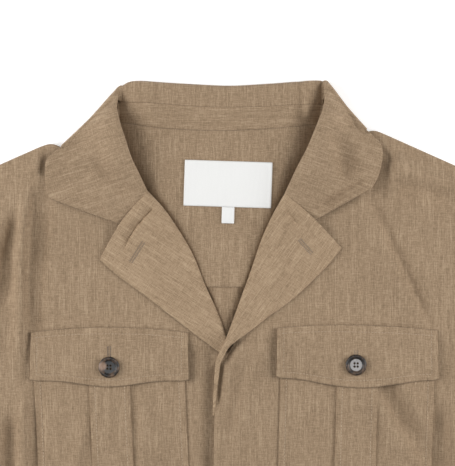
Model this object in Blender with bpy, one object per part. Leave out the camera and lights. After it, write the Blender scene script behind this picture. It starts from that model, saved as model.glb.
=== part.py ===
"""A cropped jacket in slubby linen, laid flat on its back with the front side up.

The sizes are in metres. In plan, x runs to the wearer's left and y towards the collar, both from the
centre back neck seam, and z is the height above the surface that the jacket lies on. Every piece of
cloth is a grid of points on its middle surface, thickened to a wall.
"""
import math
from collections import namedtuple

import bpy
from mathutils import Vector

for old in list(bpy.data.objects):
    bpy.data.objects.remove(old)

# Walls and the gaps between layers
CLOTH = 0.0012
DOUBLE = 0.0014
FLAP_WALL = 0.0016
TRIM = 0.0010
SEAM = 0.0004
LAY = 0.0006
ARMHOLE_GAP = 0.0006

# The whole garment
NECK_SEAM_Y = 0.2721
SHOULDER_HALF = 0.265
SHOULDER_FALL = math.radians(23.8)
UNDERARM_HALF = 0.290
UNDERARM_Y = -0.307
HEM_HALF = 0.282
HEM_Y = -0.590
FOLD_RADIUS = 0.0013
UPPER_Z = 0.0053
SWELL = 0.024
SLEEVE_LENGTH = 0.575
SLEEVE_FALL = math.radians(42.0)
CUFF_WIDTH = 0.135

# The neck: the back of the collar lies under the back panel, which is lifted over it
NECK_LIFT = 0.0024
NECK_MIDDLE = -0.012
LIFT_HALF = 0.150
LIFT_END_Y = -0.045
LIFT_RAMP = 0.065

# The front closes left over right, with a concealed fly between the two
OVERLAP_RISE = 0.0032
OVERLAP_START = 0.032
OVERLAP_END = 0.078
BREAK_RISE = 0.0026
BREAK_Y = -0.190
BREAK_REACH = 0.018

# Chest pockets with a box pleat, a flap and a button
POCKET_DROP = 0.0165
POCKET_HEIGHT = 0.154
PLEAT_HALF = 0.0185
PLEAT_TUCK = 0.009
PLEAT_FOLD = 0.0007
PLEAT_MARGIN = 0.003
POCKET_ROWS = 6
FLAP_RAMP = 0.013
FLAP_BUMP = 0.024
FLAP_FLARE = 0.012
FLAP_STRAIGHT = 0.9
FLAP_CORNER = 0.0028
FLAP_COLUMNS = 16
BUTTON_RADIUS = 0.0095
BUTTON_SIDES = 20
HOLE_RADIUS = 0.0009
HOLE_REACH = 0.0017
HOLE_SIDES = 8

# Woven label and size tag inside the neck
LABEL_WIDTH = 0.078
LABEL_HEIGHT = 0.0405
LABEL_PLACE = (0.0018, -0.0478)
LABEL_TURN = math.radians(-1.8)
TAG_WIDTH = 0.0105
TAG_HEIGHT = 0.0140

SIGN = {"right": -1.0, "left": 1.0}

# Armhole, from the shoulder point to the underarm: half_x, y
ARMHOLE = (
    (SHOULDER_HALF, -0.0575),
    (0.262, -0.086),
    (0.259, -0.129),
    (0.259, -0.184),
    (0.263, -0.234),
    (0.275, -0.279),
    (UNDERARM_HALF, UNDERARM_Y),
)

# Side seam, from the underarm to the hem: y
SIDE = (UNDERARM_Y, -0.330, -0.360, -0.390, HEM_Y)

# Shoulder line at the neck, and the dip where the collar presses on it
Shoulder = namedtuple("Shoulder", "neck_x neck_y dip_x dip reach")
SHOULDER = {
    "right": Shoulder(-0.104, 0.0130, -0.144, 0.0105, 0.010),
    "left": Shoulder(0.097, 0.0170, 0.1220, 0.0078, 0.008),
}

# Inner edge of each front, from the neck along the roll line and the front edge to the hem: x, y
FRONT_EDGE = {
    "right": (
        (-0.104, 0.013),
        (-0.104, 0.000),
        (-0.096, -0.022),
        (-0.078, -0.055),
        (-0.053, -0.083),
        (-0.0315, -0.120),
        (-0.0155, -0.158),
        (-0.002, -0.190),
        (0.014, -0.215),
        (0.027, -0.245),
        (0.027, HEM_Y),
    ),
    "left": (
        (0.097, 0.017),
        (0.094, 0.000),
        (0.083, -0.022),
        (0.060, -0.057),
        (0.042, -0.089),
        (0.0285, -0.125),
        (0.0185, -0.158),
        (0.0120, -0.182),
        (0.0018, -0.202),
        (-0.0066, -0.222),
        (-0.0135, HEM_Y),
    ),
}

# Lapels, from the gorge to the break: roll_x, roll_y, edge_x, edge_y, sag, radius
# The sag bends a row towards the notch, and the radius is that of the roll.
LAPEL = {
    "right": (
        (-0.0711, -0.0540, -0.1134, -0.1152, 1.00, 0.0040),
        (-0.0560, -0.0705, -0.0985, -0.1290, 0.15, 0.0038),
        (-0.0420, -0.0910, -0.0792, -0.1431, 0.00, 0.0035),
        (-0.0295, -0.1130, -0.0600, -0.1577, 0.00, 0.0032),
        (-0.0189, -0.1395, -0.0400, -0.1732, 0.00, 0.0028),
        (-0.0095, -0.1605, -0.0215, -0.1874, 0.00, 0.0024),
        (-0.0010, -0.1820, -0.0058, -0.1987, 0.00, 0.0020),
        (0.0015, -0.1895, -0.0028, -0.2010, 0.00, 0.0018),
    ),
    "left": (
        (0.0531, -0.0567, 0.1035, -0.1053, 1.00, 0.0040),
        (0.0410, -0.0785, 0.0945, -0.1170, 0.15, 0.0038),
        (0.0320, -0.0990, 0.0780, -0.1341, 0.00, 0.0035),
        (0.0225, -0.1270, 0.0580, -0.1525, 0.00, 0.0032),
        (0.0145, -0.1490, 0.0395, -0.1655, 0.00, 0.0028),
        (0.0065, -0.1710, 0.0230, -0.1785, 0.00, 0.0024),
        (-0.0018, -0.1926, 0.0052, -0.1924, 0.00, 0.0021),
        (-0.0063, -0.2016, -0.0010, -0.2032, 0.00, 0.0018),
        (-0.0088, -0.2092, -0.0042, -0.2108, 0.00, 0.0017),
    ),
}
NOTCH = {"right": (-0.0954, -0.0837), "left": (0.0801, -0.0801)}
NOTCH_SHARE = 0.42
LAPEL_SETTLE = 0.020

# Collar leaf on the fronts, from the shoulder to the gorge:
# roll_x, roll_y, edge_x, edge_y, sag, radius, rise (of the roll above the lapel's own)
COLLAR = {
    "right": (
        (-0.0985, 0.0210, -0.1560, -0.0205, 0.00, 0.0032, 0.0040),
        (-0.0954, 0.0072, -0.1612, -0.0262, 0.02, 0.0038, 0.0056),
        (-0.0909, -0.0063, -0.1622, -0.0380, 0.06, 0.0040, 0.0056),
        (-0.0855, -0.0234, -0.1616, -0.0480, 0.16, 0.0040, 0.0040),
        (-0.0783, -0.0387, -0.1605, -0.0555, 0.45, 0.0040, 0.0018),
        (-0.0711, -0.0540, -0.1570, -0.0612, 1.00, 0.0040, 0.0000),
    ),
    "left": (
        (0.0890, 0.0270, 0.1318, -0.0042, 0.00, 0.0032, 0.0040),
        (0.0862, 0.0160, 0.1376, -0.0096, 0.02, 0.0038, 0.0056),
        (0.0819, 0.0054, 0.1404, -0.0180, 0.06, 0.0040, 0.0056),
        (0.0735, -0.0150, 0.1393, -0.0305, 0.16, 0.0040, 0.0040),
        (0.0635, -0.0345, 0.1360, -0.0420, 0.45, 0.0040, 0.0018),
        (0.0531, -0.0567, 0.1312, -0.0508, 1.00, 0.0040, 0.0000),
    ),
}
LEAF_EDGE_LIFT = 0.0012
LEAF_STEPS = (0, 0.12, 0.26, NOTCH_SHARE, 0.6, 0.8, 1)
COLLAR_RETURN = Vector((0.0, 0.0, 0.0014))
GORGE_GAP = 0.03

# Fold of the collar over each shoulder: corner_x, corner_y, end_x, end_y, roll radius, roll height
COLLAR_FOLD = {
    "right": (-0.0975, 0.0310, -0.1477, -0.0147, 0.0022, 0.0112),
    "left": (0.0890, 0.0412, 0.1255, 0.0006, 0.0022, 0.0112),
}
FOLD_TURNS = 4
FOLD_BULGE = 0.75

# Back of the collar seen inside the neck: x, top fold y, collar to stand seam y, neck seam y
NECK_ROWS = (
    (-0.0975, 0.0400, 0.0260, 0.0078),
    (-0.0936, 0.0410, 0.0262, 0.0070),
    (-0.0837, 0.0448, 0.0262, 0.0056),
    (-0.0600, 0.0438, 0.0250, 0.0022),
    (-0.0300, 0.0420, 0.0226, 0.0006),
    (0.0036, 0.0406, 0.0216, 0.0000),
    (0.0351, 0.0422, 0.0224, 0.0014),
    (0.0600, 0.0438, 0.0236, 0.0034),
    (0.0820, 0.0456, 0.0243, 0.0056),
    (0.0872, 0.0450, 0.0244, 0.0065),
    (0.0890, 0.0450, 0.0245, 0.0070),
)
BACK_ROLL = 0.0016
UNDER_DROP = 0.014
YOKE_Y = -0.1400
YOKE_HALF = 0.225
YOKE_MARGIN = 0.013

# Strip under the concealed fly: edge_x, y
FLY_EDGE = (
    (0.0085, -0.188),
    (0.0075, -0.199),
    (0.0005, -0.2045),
    (-0.0070, -0.2085),
    (-0.0094, -0.2160),
    (-0.0099, -0.2300),
    (-0.0088, -0.275),
    (-0.0080, -0.340),
    (-0.0105, HEM_Y + 0.002),
)
FLY_INSIDE = 0.034

# Largest soft folds of each front: from_x, from_y, to_x, to_y, half_width, height
FRONT_FOLDS = {
    "right": (
        (-0.172, -0.062, -0.181, -0.192, 0.013, -0.0018),
        (-0.191, -0.200, -0.187, -0.400, 0.009, -0.0014),
        (-0.206, -0.095, -0.214, -0.420, 0.017, -0.0020),
        (-0.190, -0.080, -0.194, -0.330, 0.013, 0.0013),
        (-0.236, -0.120, -0.244, -0.520, 0.018, 0.0016),
        (-0.120, -0.370, -0.096, -0.580, 0.022, 0.0014),
        (-0.060, -0.390, -0.042, -0.585, 0.018, -0.0012),
    ),
    "left": (
        (0.166, -0.056, 0.222, -0.064, 0.012, -0.0014),
        (0.163, -0.118, 0.186, -0.172, 0.010, 0.0014),
        (0.198, -0.255, 0.206, -0.440, 0.015, -0.0020),
        (0.222, -0.110, 0.236, -0.500, 0.018, 0.0016),
        (0.128, -0.365, 0.112, -0.580, 0.022, 0.0014),
        (0.070, -0.380, 0.058, -0.585, 0.018, -0.0012),
    ),
}
FOLD_FADE = 0.030

# Soft folds across each sleeve: share of the length, half_width as a share, height
SLEEVE_FOLDS = (
    (0.16, 0.030, 0.0012),
    (0.30, 0.035, -0.0011),
    (0.47, 0.030, 0.0015),
    (0.56, 0.028, -0.0012),
    (0.78, 0.040, 0.0010),
)

# Flaps and pockets: a flap's top edge bows up, and its lower edge drops most in the middle
Pocket = namedtuple("Pocket", "x half top bow side_drop drop lean pocket_half pocket_lean button_drop")
POCKET = {
    "right": Pocket(-0.1050, 0.0700, -0.1818, 0.0045, 0.0425, 0.0495, 0.0000, 0.0675, 0.045, 0.0305),
    "left": Pocket(0.1182, 0.0715, -0.1788, 0.0035, 0.0440, 0.0515, -0.0012, 0.0690, -0.026, 0.0315),
}

# Outline of a button from its middle below to its middle above: radius as a share, height
BUTTON_PROFILE = (
    (0.0, 0.0),
    (0.78, 0.0),
    (0.96, 0.0009),
    (1.0, 0.0017),
    (0.95, 0.0027),
    (0.85, 0.0031),
    (0.74, 0.0028),
    (0.64, 0.0020),
    (0.0, 0.0017),
)

# Row and column places along the panels, closer together at the folded edges
DIP_ROWS = 1.5
ARMHOLE_STEPS = (0, 0.05, 0.15, 0.36, 0.75, 1.3, 1.9, 2.5, 3.1, 3.7, 4.3, 4.8, 5.3, 5.64, 5.86, 5.955, 6)
SIDE_STEPS = (6.5, 7, 7.4, 7.8, 8.3, 9, 9.25, 9.5, 9.75, 10)
COLUMN_STEPS = (0, 0.08, 0.17, 0.26, 0.35, 0.44, 0.53, 0.62, 0.71, 0.80, 0.88, 0.94, 0.975, 0.99, 0.9955, 1)
BACK_STEPS = (0, 0.15, 0.75, 1.3, 1.7, 2.1, 2.5, 3.1, 3.7, 4.3, 4.8, 5.3, 5.64, 5.86, 6, 7, 9, 10)

TAUPE = (0.353, 0.254, 0.166, 1.0)
WHITE = (0.87, 0.87, 0.85, 1.0)
HORN = (0.045, 0.034, 0.028, 1.0)


def smooth(value):
    value = min(max(value, 0.0), 1.0)
    return value * value * (3.0 - 2.0 * value)


def mix(first, second, share):
    return tuple(a + (b - a) * share for a, b in zip(first, second))


def slope(before, here, there):
    """Slope of a smooth curve at a row of a table, held back beside a much longer step."""
    steps = (here - before, there - here)
    most = 3.0 * min((abs(step) for step in steps if step), default=0.0)
    return min(max(sum(steps) / 2.0, -most), most)


def between(rows, place):
    """Values at a place along the rows of a table, on a smooth curve through them."""
    last = len(rows) - 1
    start = min(int(place), last - 1)
    share = place - start
    corners = [rows[min(max(start + step, 0), last)] for step in (-1, 0, 1, 2)]
    values = []
    for before, here, there, after in zip(*corners):
        leave = slope(before, here, there)
        arrive = slope(here, there, after)
        bend = 3.0 * (there - here) - 2.0 * leave - arrive
        twist = 2.0 * (here - there) + leave + arrive
        values.append(here + share * (leave + share * (bend + share * twist)))
    return values


def across(rows, x):
    """Values of a table at one x, its first column, on straight stretches."""
    for low, high in zip(rows, rows[1:]):
        if x <= high[0] or high is rows[-1]:
            return mix(low, high, min(max((x - low[0]) / (high[0] - low[0]), 0.0), 1.0))


def line_distance(x, y, from_x, from_y, to_x, to_y):
    """Distance of a point from a straight stretch, and its place along it from 0 to 1."""
    run_x, run_y = to_x - from_x, to_y - from_y
    share = ((x - from_x) * run_x + (y - from_y) * run_y) / (run_x * run_x + run_y * run_y)
    held = min(max(share, 0.0), 1.0)
    return math.hypot(x - from_x - held * run_x, y - from_y - held * run_y), held


def shoulder_dip(side, x):
    line = SHOULDER[side]
    return line.dip * math.exp(-(((x - line.dip_x) / line.reach) ** 2))


def shoulder_y(side, x):
    """Height in plan of the folded shoulder edge."""
    line = SHOULDER[side]
    slope = (ARMHOLE[0][1] - line.neck_y) / (SIGN[side] * SHOULDER_HALF - line.neck_x)
    return line.neck_y + (x - line.neck_x) * slope - shoulder_dip(side, x)


def side_half(y):
    """Half width of the body at the side seam."""
    return UNDERARM_HALF + (HEM_HALF - UNDERARM_HALF) * (UNDERARM_Y - y) / (UNDERARM_Y - HEM_Y)


def outer_point(place):
    """Point on the body's outer edge: places 0 to 6 on the armhole, then down the side seam."""
    if place <= len(ARMHOLE) - 1:
        return between(ARMHOLE, place)
    start = min(int(place) - len(ARMHOLE) + 1, len(SIDE) - 2)
    y = SIDE[start] + (SIDE[start + 1] - SIDE[start]) * (place - len(ARMHOLE) + 1 - start)
    return side_half(y), y


def neck_lift(x, y):
    """Lift of the body over the part of the collar that lies under it."""
    along = 1.0 - smooth((LIFT_END_Y - y) / LIFT_RAMP)
    outward = 1.0 - smooth((abs(x - NECK_MIDDLE) - LIFT_HALF) / LIFT_RAMP)
    return NECK_LIFT * along * outward


def fold_over(distance):
    """Height of an upper layer at a distance from the edge where it folds over."""
    middle = CLOTH / 2 + FOLD_RADIUS
    if distance < FOLD_RADIUS:
        return middle + math.sqrt(max(FOLD_RADIUS**2 - (FOLD_RADIUS - distance) ** 2, 0.0))
    top = middle + FOLD_RADIUS
    return top + (UPPER_Z - top) * smooth((distance - FOLD_RADIUS) / SWELL)


def edge_distance(side, x, y):
    """Distance from the folded shoulder edge or side seam."""
    drop = max(shoulder_y(side, x) - y, 0.0) * math.cos(SHOULDER_FALL)
    if y < UNDERARM_Y:
        inside = side_half(y) - abs(x)
    else:
        inside = math.hypot(UNDERARM_HALF - abs(x), UNDERARM_Y - y)
    return max(min(drop, inside), 0.0)


def front_z(side, x, y):
    """Height of a front's middle surface."""
    edge = edge_distance(side, x, y)
    z = fold_over(edge) + neck_lift(x, y)
    for from_x, from_y, to_x, to_y, half_width, height in FRONT_FOLDS[side]:
        away, place = line_distance(x, y, from_x, from_y, to_x, to_y)
        ends = smooth(4.0 * place) * smooth(4.0 * (1.0 - place))
        z += height * ends * math.exp(-((away / half_width) ** 2)) * smooth(edge / FOLD_FADE)
    if side == "left":
        over = 1.0 - smooth((x - OVERLAP_START) / (OVERLAP_END - OVERLAP_START))
        z += over * (OVERLAP_RISE + BREAK_RISE * math.exp(-(((y - BREAK_Y) / BREAK_REACH) ** 2)))
    return z


def back_z(x, y):
    """Height of the back's middle surface."""
    return CLOTH / 2 + neck_lift(x, y)


def finish(name, colour, roughness):
    material = bpy.data.materials.new(name)
    material.use_nodes = True
    shader = material.node_tree.nodes["Principled BSDF"]
    shader.inputs["Base Color"].default_value = colour
    shader.inputs["Roughness"].default_value = roughness
    shader.inputs["Metallic"].default_value = 0.0
    material.diffuse_color = colour
    return material


def add_piece(name, points, faces, material):
    mesh = bpy.data.meshes.new(name)
    mesh.from_pydata(points, [], faces)
    mesh.update()
    mesh.shade_smooth()
    mesh.materials.append(material)
    piece = bpy.data.objects.new(name, mesh)
    piece.parent = jacket
    bpy.context.scene.collection.objects.link(piece)
    return piece


def cloth(name, rows, wall, material, tube=False):
    """A wall of cloth through rows of points on its middle surface."""
    width = len(rows[0])
    points = [point for row in rows for point in row]
    faces = []
    for row in range(len(rows) - 1):
        for column in range(width if tube else width - 1):
            beside = (column + 1) % width
            low, high = row * width, (row + 1) * width
            faces.append((low + column, low + beside, high + beside, high + column))
    piece = add_piece(name, points, faces, material)
    thicken = piece.modifiers.new("wall", "SOLIDIFY")
    thicken.thickness = wall
    thicken.offset = 0.0
    thicken.use_quality_normals = True
    return piece


def bent(start, knee, end, share):
    """Point on a row that bends at a knee."""
    if share < NOTCH_SHARE:
        return mix(start, knee, share / NOTCH_SHARE)
    return mix(knee, end, (share - NOTCH_SHARE) / (1.0 - NOTCH_SHARE))


def unit(start, end):
    length = math.hypot(end[0] - start[0], end[1] - start[1])
    return (end[0] - start[0]) / length, (end[1] - start[1]) / length


def turned_row(side, roll, edge, sag, radius):
    """Where a turned-over row leaves its roll, the knee that it bends at, and its first direction."""
    bend = max(sag, 0.0)
    out = unit(roll, mix(mix(roll, edge, NOTCH_SHARE), NOTCH[side], bend))
    start = (roll[0] + out[0] * radius, roll[1] + out[1] * radius)
    return start, mix(mix(start, edge, NOTCH_SHARE), NOTCH[side], bend), out


def make_back():
    neck_left, neck_right = NECK_ROWS[0], NECK_ROWS[-1]
    tops = [row[0] for row in NECK_ROWS]
    for side, line in SHOULDER.items():
        past = line.dip_x + SIGN[side] * 2.0 * line.reach
        tops += [line.neck_x, line.dip_x - line.reach, line.dip_x, line.dip_x + line.reach]
        tops += [past + (SIGN[side] * SHOULDER_HALF - past) * step / 4 for step in range(5)]
    tops.sort()
    rows = []
    for place in BACK_STEPS:
        half, level = outer_point(place)
        arch = max(1.0 - place / 6.0, 0.0)
        row = []
        for x in tops:
            if neck_left[0] <= x <= neck_right[0]:
                top = across(NECK_ROWS, x)[3]
            else:
                top = shoulder_y("right" if x < 0 else "left", x)
            y = level + (top - ARMHOLE[0][1]) * arch
            wide = x * half / SHOULDER_HALF
            row.append((wide, y, back_z(wide, y)))
        rows.append(row)
    return cloth("back", rows, CLOTH, linen)


def yoke_top(x):
    if NECK_ROWS[0][0] <= x <= NECK_ROWS[-1][0]:
        return across(NECK_ROWS, x)[3] - SEAM
    side = "right" if x < 0 else "left"
    neck_x = SHOULDER[side].neck_x
    margin = YOKE_MARGIN * smooth(abs(x - neck_x) / YOKE_MARGIN)
    return min(shoulder_y(side, x), shoulder_y(side, neck_x)) - margin


def facing_z(x, y):
    return back_z(x, y) + CLOTH / 2 + SEAM + TRIM / 2


def make_back_facing():
    columns = [-YOKE_HALF + 2 * YOKE_HALF * step / 18 for step in range(19)]
    rows = []
    for share in (0, 0.15, 0.32, 0.5, 0.68, 0.84, 1):
        row = []
        for x in columns:
            top = yoke_top(x)
            y = top + (YOKE_Y - top) * share
            row.append((x, y, facing_z(x, y)))
        rows.append(row)
    return cloth("back_facing", rows, TRIM, linen)


def make_front(side):
    sign = SIGN[side]
    rows = []
    for place in ARMHOLE_STEPS + SIDE_STEPS:
        inner = between(FRONT_EDGE[side], place)
        half, level = outer_point(place)
        row = []
        for share in COLUMN_STEPS:
            x, y = mix(inner, (sign * half, level), share)
            y -= shoulder_dip(side, x) * (1.0 - smooth(place / DIP_ROWS))
            row.append((x, y, front_z(side, x, y)))
        rows.append(row)
    return cloth("front_" + side, rows, CLOTH, linen)


def make_sleeve(side):
    """A flattened tube from the armhole to the cuff, folded at its top and under seams."""
    sign = SIGN[side]
    run = Vector((math.cos(SLEEVE_FALL), -math.sin(SLEEVE_FALL)))
    cross = Vector((-math.sin(SLEEVE_FALL), -math.cos(SLEEVE_FALL)))
    shoulder = Vector(ARMHOLE[0])
    cuff_top = shoulder + run * SLEEVE_LENGTH
    cuff_under = cuff_top + cross * CUFF_WIDTH
    underarm = Vector(ARMHOLE[-1])
    last = ARMHOLE_STEPS[-1]
    steps = list(ARMHOLE_STEPS) + [place for place in reversed(ARMHOLE_STEPS) if 0 < place < last]
    rings = []
    for share in (0, 0.08, 0.2, 0.33, 0.47, 0.6, 0.78, 1):
        top = shoulder.lerp(cuff_top, share)
        under = underarm.lerp(cuff_under, share)
        ring = []
        for index, place in enumerate(steps):
            armhole = Vector(outer_point(place))
            down = (armhole - shoulder).length / (underarm - shoulder).length
            bow = armhole - shoulder.lerp(underarm, down)
            point = top.lerp(under, down) + bow * (1.0 - share) ** 2
            if place in (0, last):
                point = top if place == 0 else under
            edge = min((point - top).length, (point - under).length)
            upper = fold_over(edge)
            if index < len(ARMHOLE_STEPS):
                soft = smooth(edge / FOLD_FADE)
                for middle, reach, height in SLEEVE_FOLDS:
                    upper += height * soft * math.exp(-(((share - middle) / reach) ** 2))
            else:
                upper = max(2 * (CLOTH / 2 + FOLD_RADIUS) - upper, CLOTH / 2)
            ring.append((sign * (point.x + ARMHOLE_GAP), point.y, upper))
        rings.append(ring)
    return cloth("sleeve_" + side, rings, CLOTH, linen, tube=True)


def make_lapel(side):
    table = LAPEL[side]
    stops = len(table) - 1
    rows = []
    for step in range(stops * 2 + 1):
        roll_x, roll_y, edge_x, edge_y, sag, radius = between(table, step / 2)
        roll, edge = (roll_x, roll_y), (edge_x, edge_y)
        start, knee, out = turned_row(side, roll, edge, sag, radius)
        base = front_z(side, *start)
        row = []
        for turn in (0.0, 0.25, 0.5, 0.75):
            back = radius * (1.0 - math.sin(math.pi * turn))
            up = radius * (1.0 - math.cos(math.pi * turn))
            row.append((roll[0] + out[0] * back, roll[1] + out[1] * back, base + up))
        above = CLOTH / 2 + LAY + DOUBLE / 2
        spring = 2.0 * radius - above
        settle = min(math.dist(roll, edge) / LAPEL_SETTLE, 1.0)
        for share in (0, 0.12, 0.26, NOTCH_SHARE, 0.58, 0.74, 0.88, 1):
            x, y = bent(start, knee, edge, share)
            row.append((x, y, front_z(side, x, y) + above + spring * (1.0 - settle * smooth(share))))
        rows.append(row)
    return cloth("lapel_" + side, rows, DOUBLE, linen)


def make_fly():
    rows = []
    for place in (0, 0.5, 1, 1.5, 2, 2.5, 3, 3.5, 4, 5, 6, 6.5, 7, 7.25, 7.5, 7.75, 8):
        edge_x, y = between(FLY_EDGE, place)
        row = []
        for share in (0, 0.33, 0.67, 1):
            x = edge_x + (FLY_INSIDE - edge_x) * share
            row.append((x, y, front_z("right", x, y) + CLOTH / 2 + LAY + TRIM / 2))
        rows.append(row)
    return cloth("fly_facing", rows, TRIM, linen)


def leaf_row(side, start, knee, edge, roll_z):
    """Points of the collar leaf where it lies on a front, from its roll to its outer edge."""
    above = CLOTH / 2 + LAY + DOUBLE / 2
    spring = roll_z - front_z(side, *start) - above
    points = []
    for share in LEAF_STEPS:
        x, y = bent(start, knee, edge, share)
        rest = front_z(side, x, y) + above + LEAF_EDGE_LIFT * share
        points.append(Vector((x, y, rest + spring * (1.0 - smooth(share)))))
    return points


def collar_section(inner_end, inner_top, bulge, leaf):
    """One section of the collar: its inner side, the roll and the leaf."""
    reach = bulge * ((leaf[0] - inner_top).length * 2.0 / 3.0)
    section = [inner_end, inner_top]
    for share in (0.25, 0.5, 0.75):
        rest = 1.0 - share
        section.append(
            inner_top * rest**3
            + (inner_top + reach) * (3.0 * share * rest**2)
            + (leaf[0] + reach) * (3.0 * share**2 * rest)
            + leaf[0] * share**3
        )
    return section + leaf


def collar_side(side, under):
    """Sections on one front, from the gorge to the shoulder, then round the fold to the back."""
    table = COLLAR[side]
    last = len(table) - 1
    sections = []
    for step in range(last * 2, -1, -1):
        place = min(step / 2, last - GORGE_GAP)
        roll_x, roll_y, edge_x, edge_y, sag, radius, rise = between(table, place)
        edge = (edge_x, edge_y)
        start, knee, out = turned_row(side, (roll_x, roll_y), edge, sag, radius)
        leaf = leaf_row(side, start, knee, edge, front_z(side, *start) + 2.0 * radius + rise)
        inner_top = leaf[0] - Vector((0.0, 0.0, 2.0 * radius))
        bulge = Vector((-out[0], -out[1], 0.0))
        sections.append(collar_section(inner_top - COLLAR_RETURN, inner_top, bulge, leaf))
    corner_x, corner_y, end_x, end_y, radius, roll_z = COLLAR_FOLD[side]
    end = (end_x, end_y)
    start, knee, out = turned_row(side, (corner_x, corner_y), end, 0.0, radius)
    over = leaf_row(side, start, knee, end, roll_z)
    outward = Vector((out[1], -out[0], 0.0)) * -SIGN[side]
    inner_high = over[0] - Vector((0.0, 0.0, 2.0 * radius))
    for turn in range(FOLD_TURNS):
        angle = math.pi * turn / FOLD_TURNS
        down = (1.0 - math.cos(angle)) / 2.0
        leaf = []
        for high, low in zip(over, under[-len(over):]):
            reach = FOLD_BULGE * (high.z - low.z) / 2.0 * math.sin(angle)
            leaf.append(high.lerp(low, down) + outward * reach)
        inner_top = inner_high.lerp(under[1], down)
        inner_end = (inner_high - COLLAR_RETURN).lerp(under[0], down)
        bulge = Vector((-out[0], -out[1], 0.0)).lerp(Vector((0.0, 1.0, 0.0)), down).normalized()
        sections.append(collar_section(inner_end, inner_top, bulge, leaf))
    return sections


def make_collar():
    start_x, end_x = COLLAR_FOLD["right"][0], COLLAR_FOLD["left"][0]
    from_edge, to_edge = COLLAR_FOLD["right"][2:4], COLLAR_FOLD["left"][2:4]
    back = []
    for x, top, seam, _ in NECK_ROWS[1:-1]:
        share = (x - start_x) / (end_x - start_x)
        edge_x, edge_y = mix(from_edge, to_edge, share)
        edge = Vector((edge_x, edge_y - UNDER_DROP * 4.0 * share * (1.0 - share), DOUBLE / 2))
        start = Vector((x, top - BACK_ROLL - DOUBLE / 2, DOUBLE / 2))
        leaf = [start.lerp(edge, step) for step in LEAF_STEPS]
        inner_top = start + Vector((0.0, 0.0, 2.0 * BACK_ROLL))
        inner_end = Vector((x, seam + SEAM, CLOTH + NECK_LIFT))
        back.append(collar_section(inner_end, inner_top, Vector((0.0, 1.0, 0.0)), leaf))
    right = collar_side("right", back[0])
    left = collar_side("left", back[-1])
    return cloth("collar", right + back + list(reversed(left)), DOUBLE, linen)


def make_collar_stand():
    rows = []
    for share in (0, 0.5, 1):
        row = []
        for step in range(2 * (len(NECK_ROWS) - 1) + 1):
            x, _, seam, neck = between(NECK_ROWS, step / 2)
            y = neck + SEAM + (seam - neck - 2 * SEAM) * share
            row.append((x, y, CLOTH / 2 + NECK_LIFT))
        rows.append(row)
    return cloth("collar_stand", rows, CLOTH, linen)


def pocket_section(half):
    """Half of a pocket's section across, from its side edge to the middle: x, level."""
    outside = ((-half, 0.0), (-half * 0.8, 0.0), (-half * 0.55, 0.0), (-PLEAT_HALF - PLEAT_MARGIN, 0.0))
    fold = PLEAT_FOLD
    inner = -PLEAT_HALF + PLEAT_TUCK
    tuck = ((inner - fold, 0.0), (inner, fold), (inner - fold, 2 * fold))
    turn = ((-PLEAT_HALF + fold, 2 * fold), (-PLEAT_HALF, 3 * fold), (-PLEAT_HALF + fold, 4 * fold))
    return outside + tuck + turn + ((-PLEAT_HALF * 0.5, 4 * fold),)


def make_pocket(side):
    pocket = POCKET[side]
    left_part = pocket_section(pocket.pocket_half)
    right_part = tuple((-x, level) for x, level in reversed(left_part))
    section = left_part + ((0.0, 4 * PLEAT_FOLD),) + right_part
    above = CLOTH / 2 + LAY + TRIM / 2
    rows = []
    for step in range(POCKET_ROWS + 1):
        y = pocket.top - POCKET_DROP - POCKET_HEIGHT * step / POCKET_ROWS
        middle = pocket.x + pocket.pocket_lean * (pocket.top - pocket.side_drop - y)
        rows.append([(middle + x, y, front_z(side, middle + x, y) + above + level) for x, level in section])
    return cloth("pocket_" + side, rows, TRIM, linen)


def flap_z(side, x, y, down):
    """Height of the flap's middle surface, over the pocket and its pleat."""
    ramp = smooth(down / FLAP_RAMP)
    pleat = 1.0 - smooth((abs(x - POCKET[side].x) - PLEAT_HALF - PLEAT_MARGIN) / FLAP_BUMP)
    over_pocket = (TRIM + LAY + 4 * PLEAT_FOLD * pleat) * ramp
    return front_z(side, x, y) + CLOTH / 2 + LAY + over_pocket + FLAP_WALL / 2


def make_flap(side):
    flap = POCKET[side]
    rows = []
    for share in (0, 0.15, 0.3, 0.5, 0.7, 0.88, 1):
        row = []
        for step in range(FLAP_COLUMNS + 1):
            place = 2.0 * step / FLAP_COLUMNS - 1.0
            crown = 1.0 - place * place
            level = flap.top + flap.lean * place
            top = level + flap.bow * crown
            low = level - flap.side_drop - (flap.drop - flap.side_drop) * crown**1.5
            low += FLAP_CORNER * (max(abs(place) - FLAP_STRAIGHT, 0.0) / (1.0 - FLAP_STRAIGHT)) ** 2
            x = flap.x + place * flap.half * (1.0 + FLAP_FLARE * share)
            y = top + (low - top) * share
            row.append((x, y, flap_z(side, x, y, top - y)))
        rows.append(row)
    return cloth("flap_" + side, rows, FLAP_WALL, linen)


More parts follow.
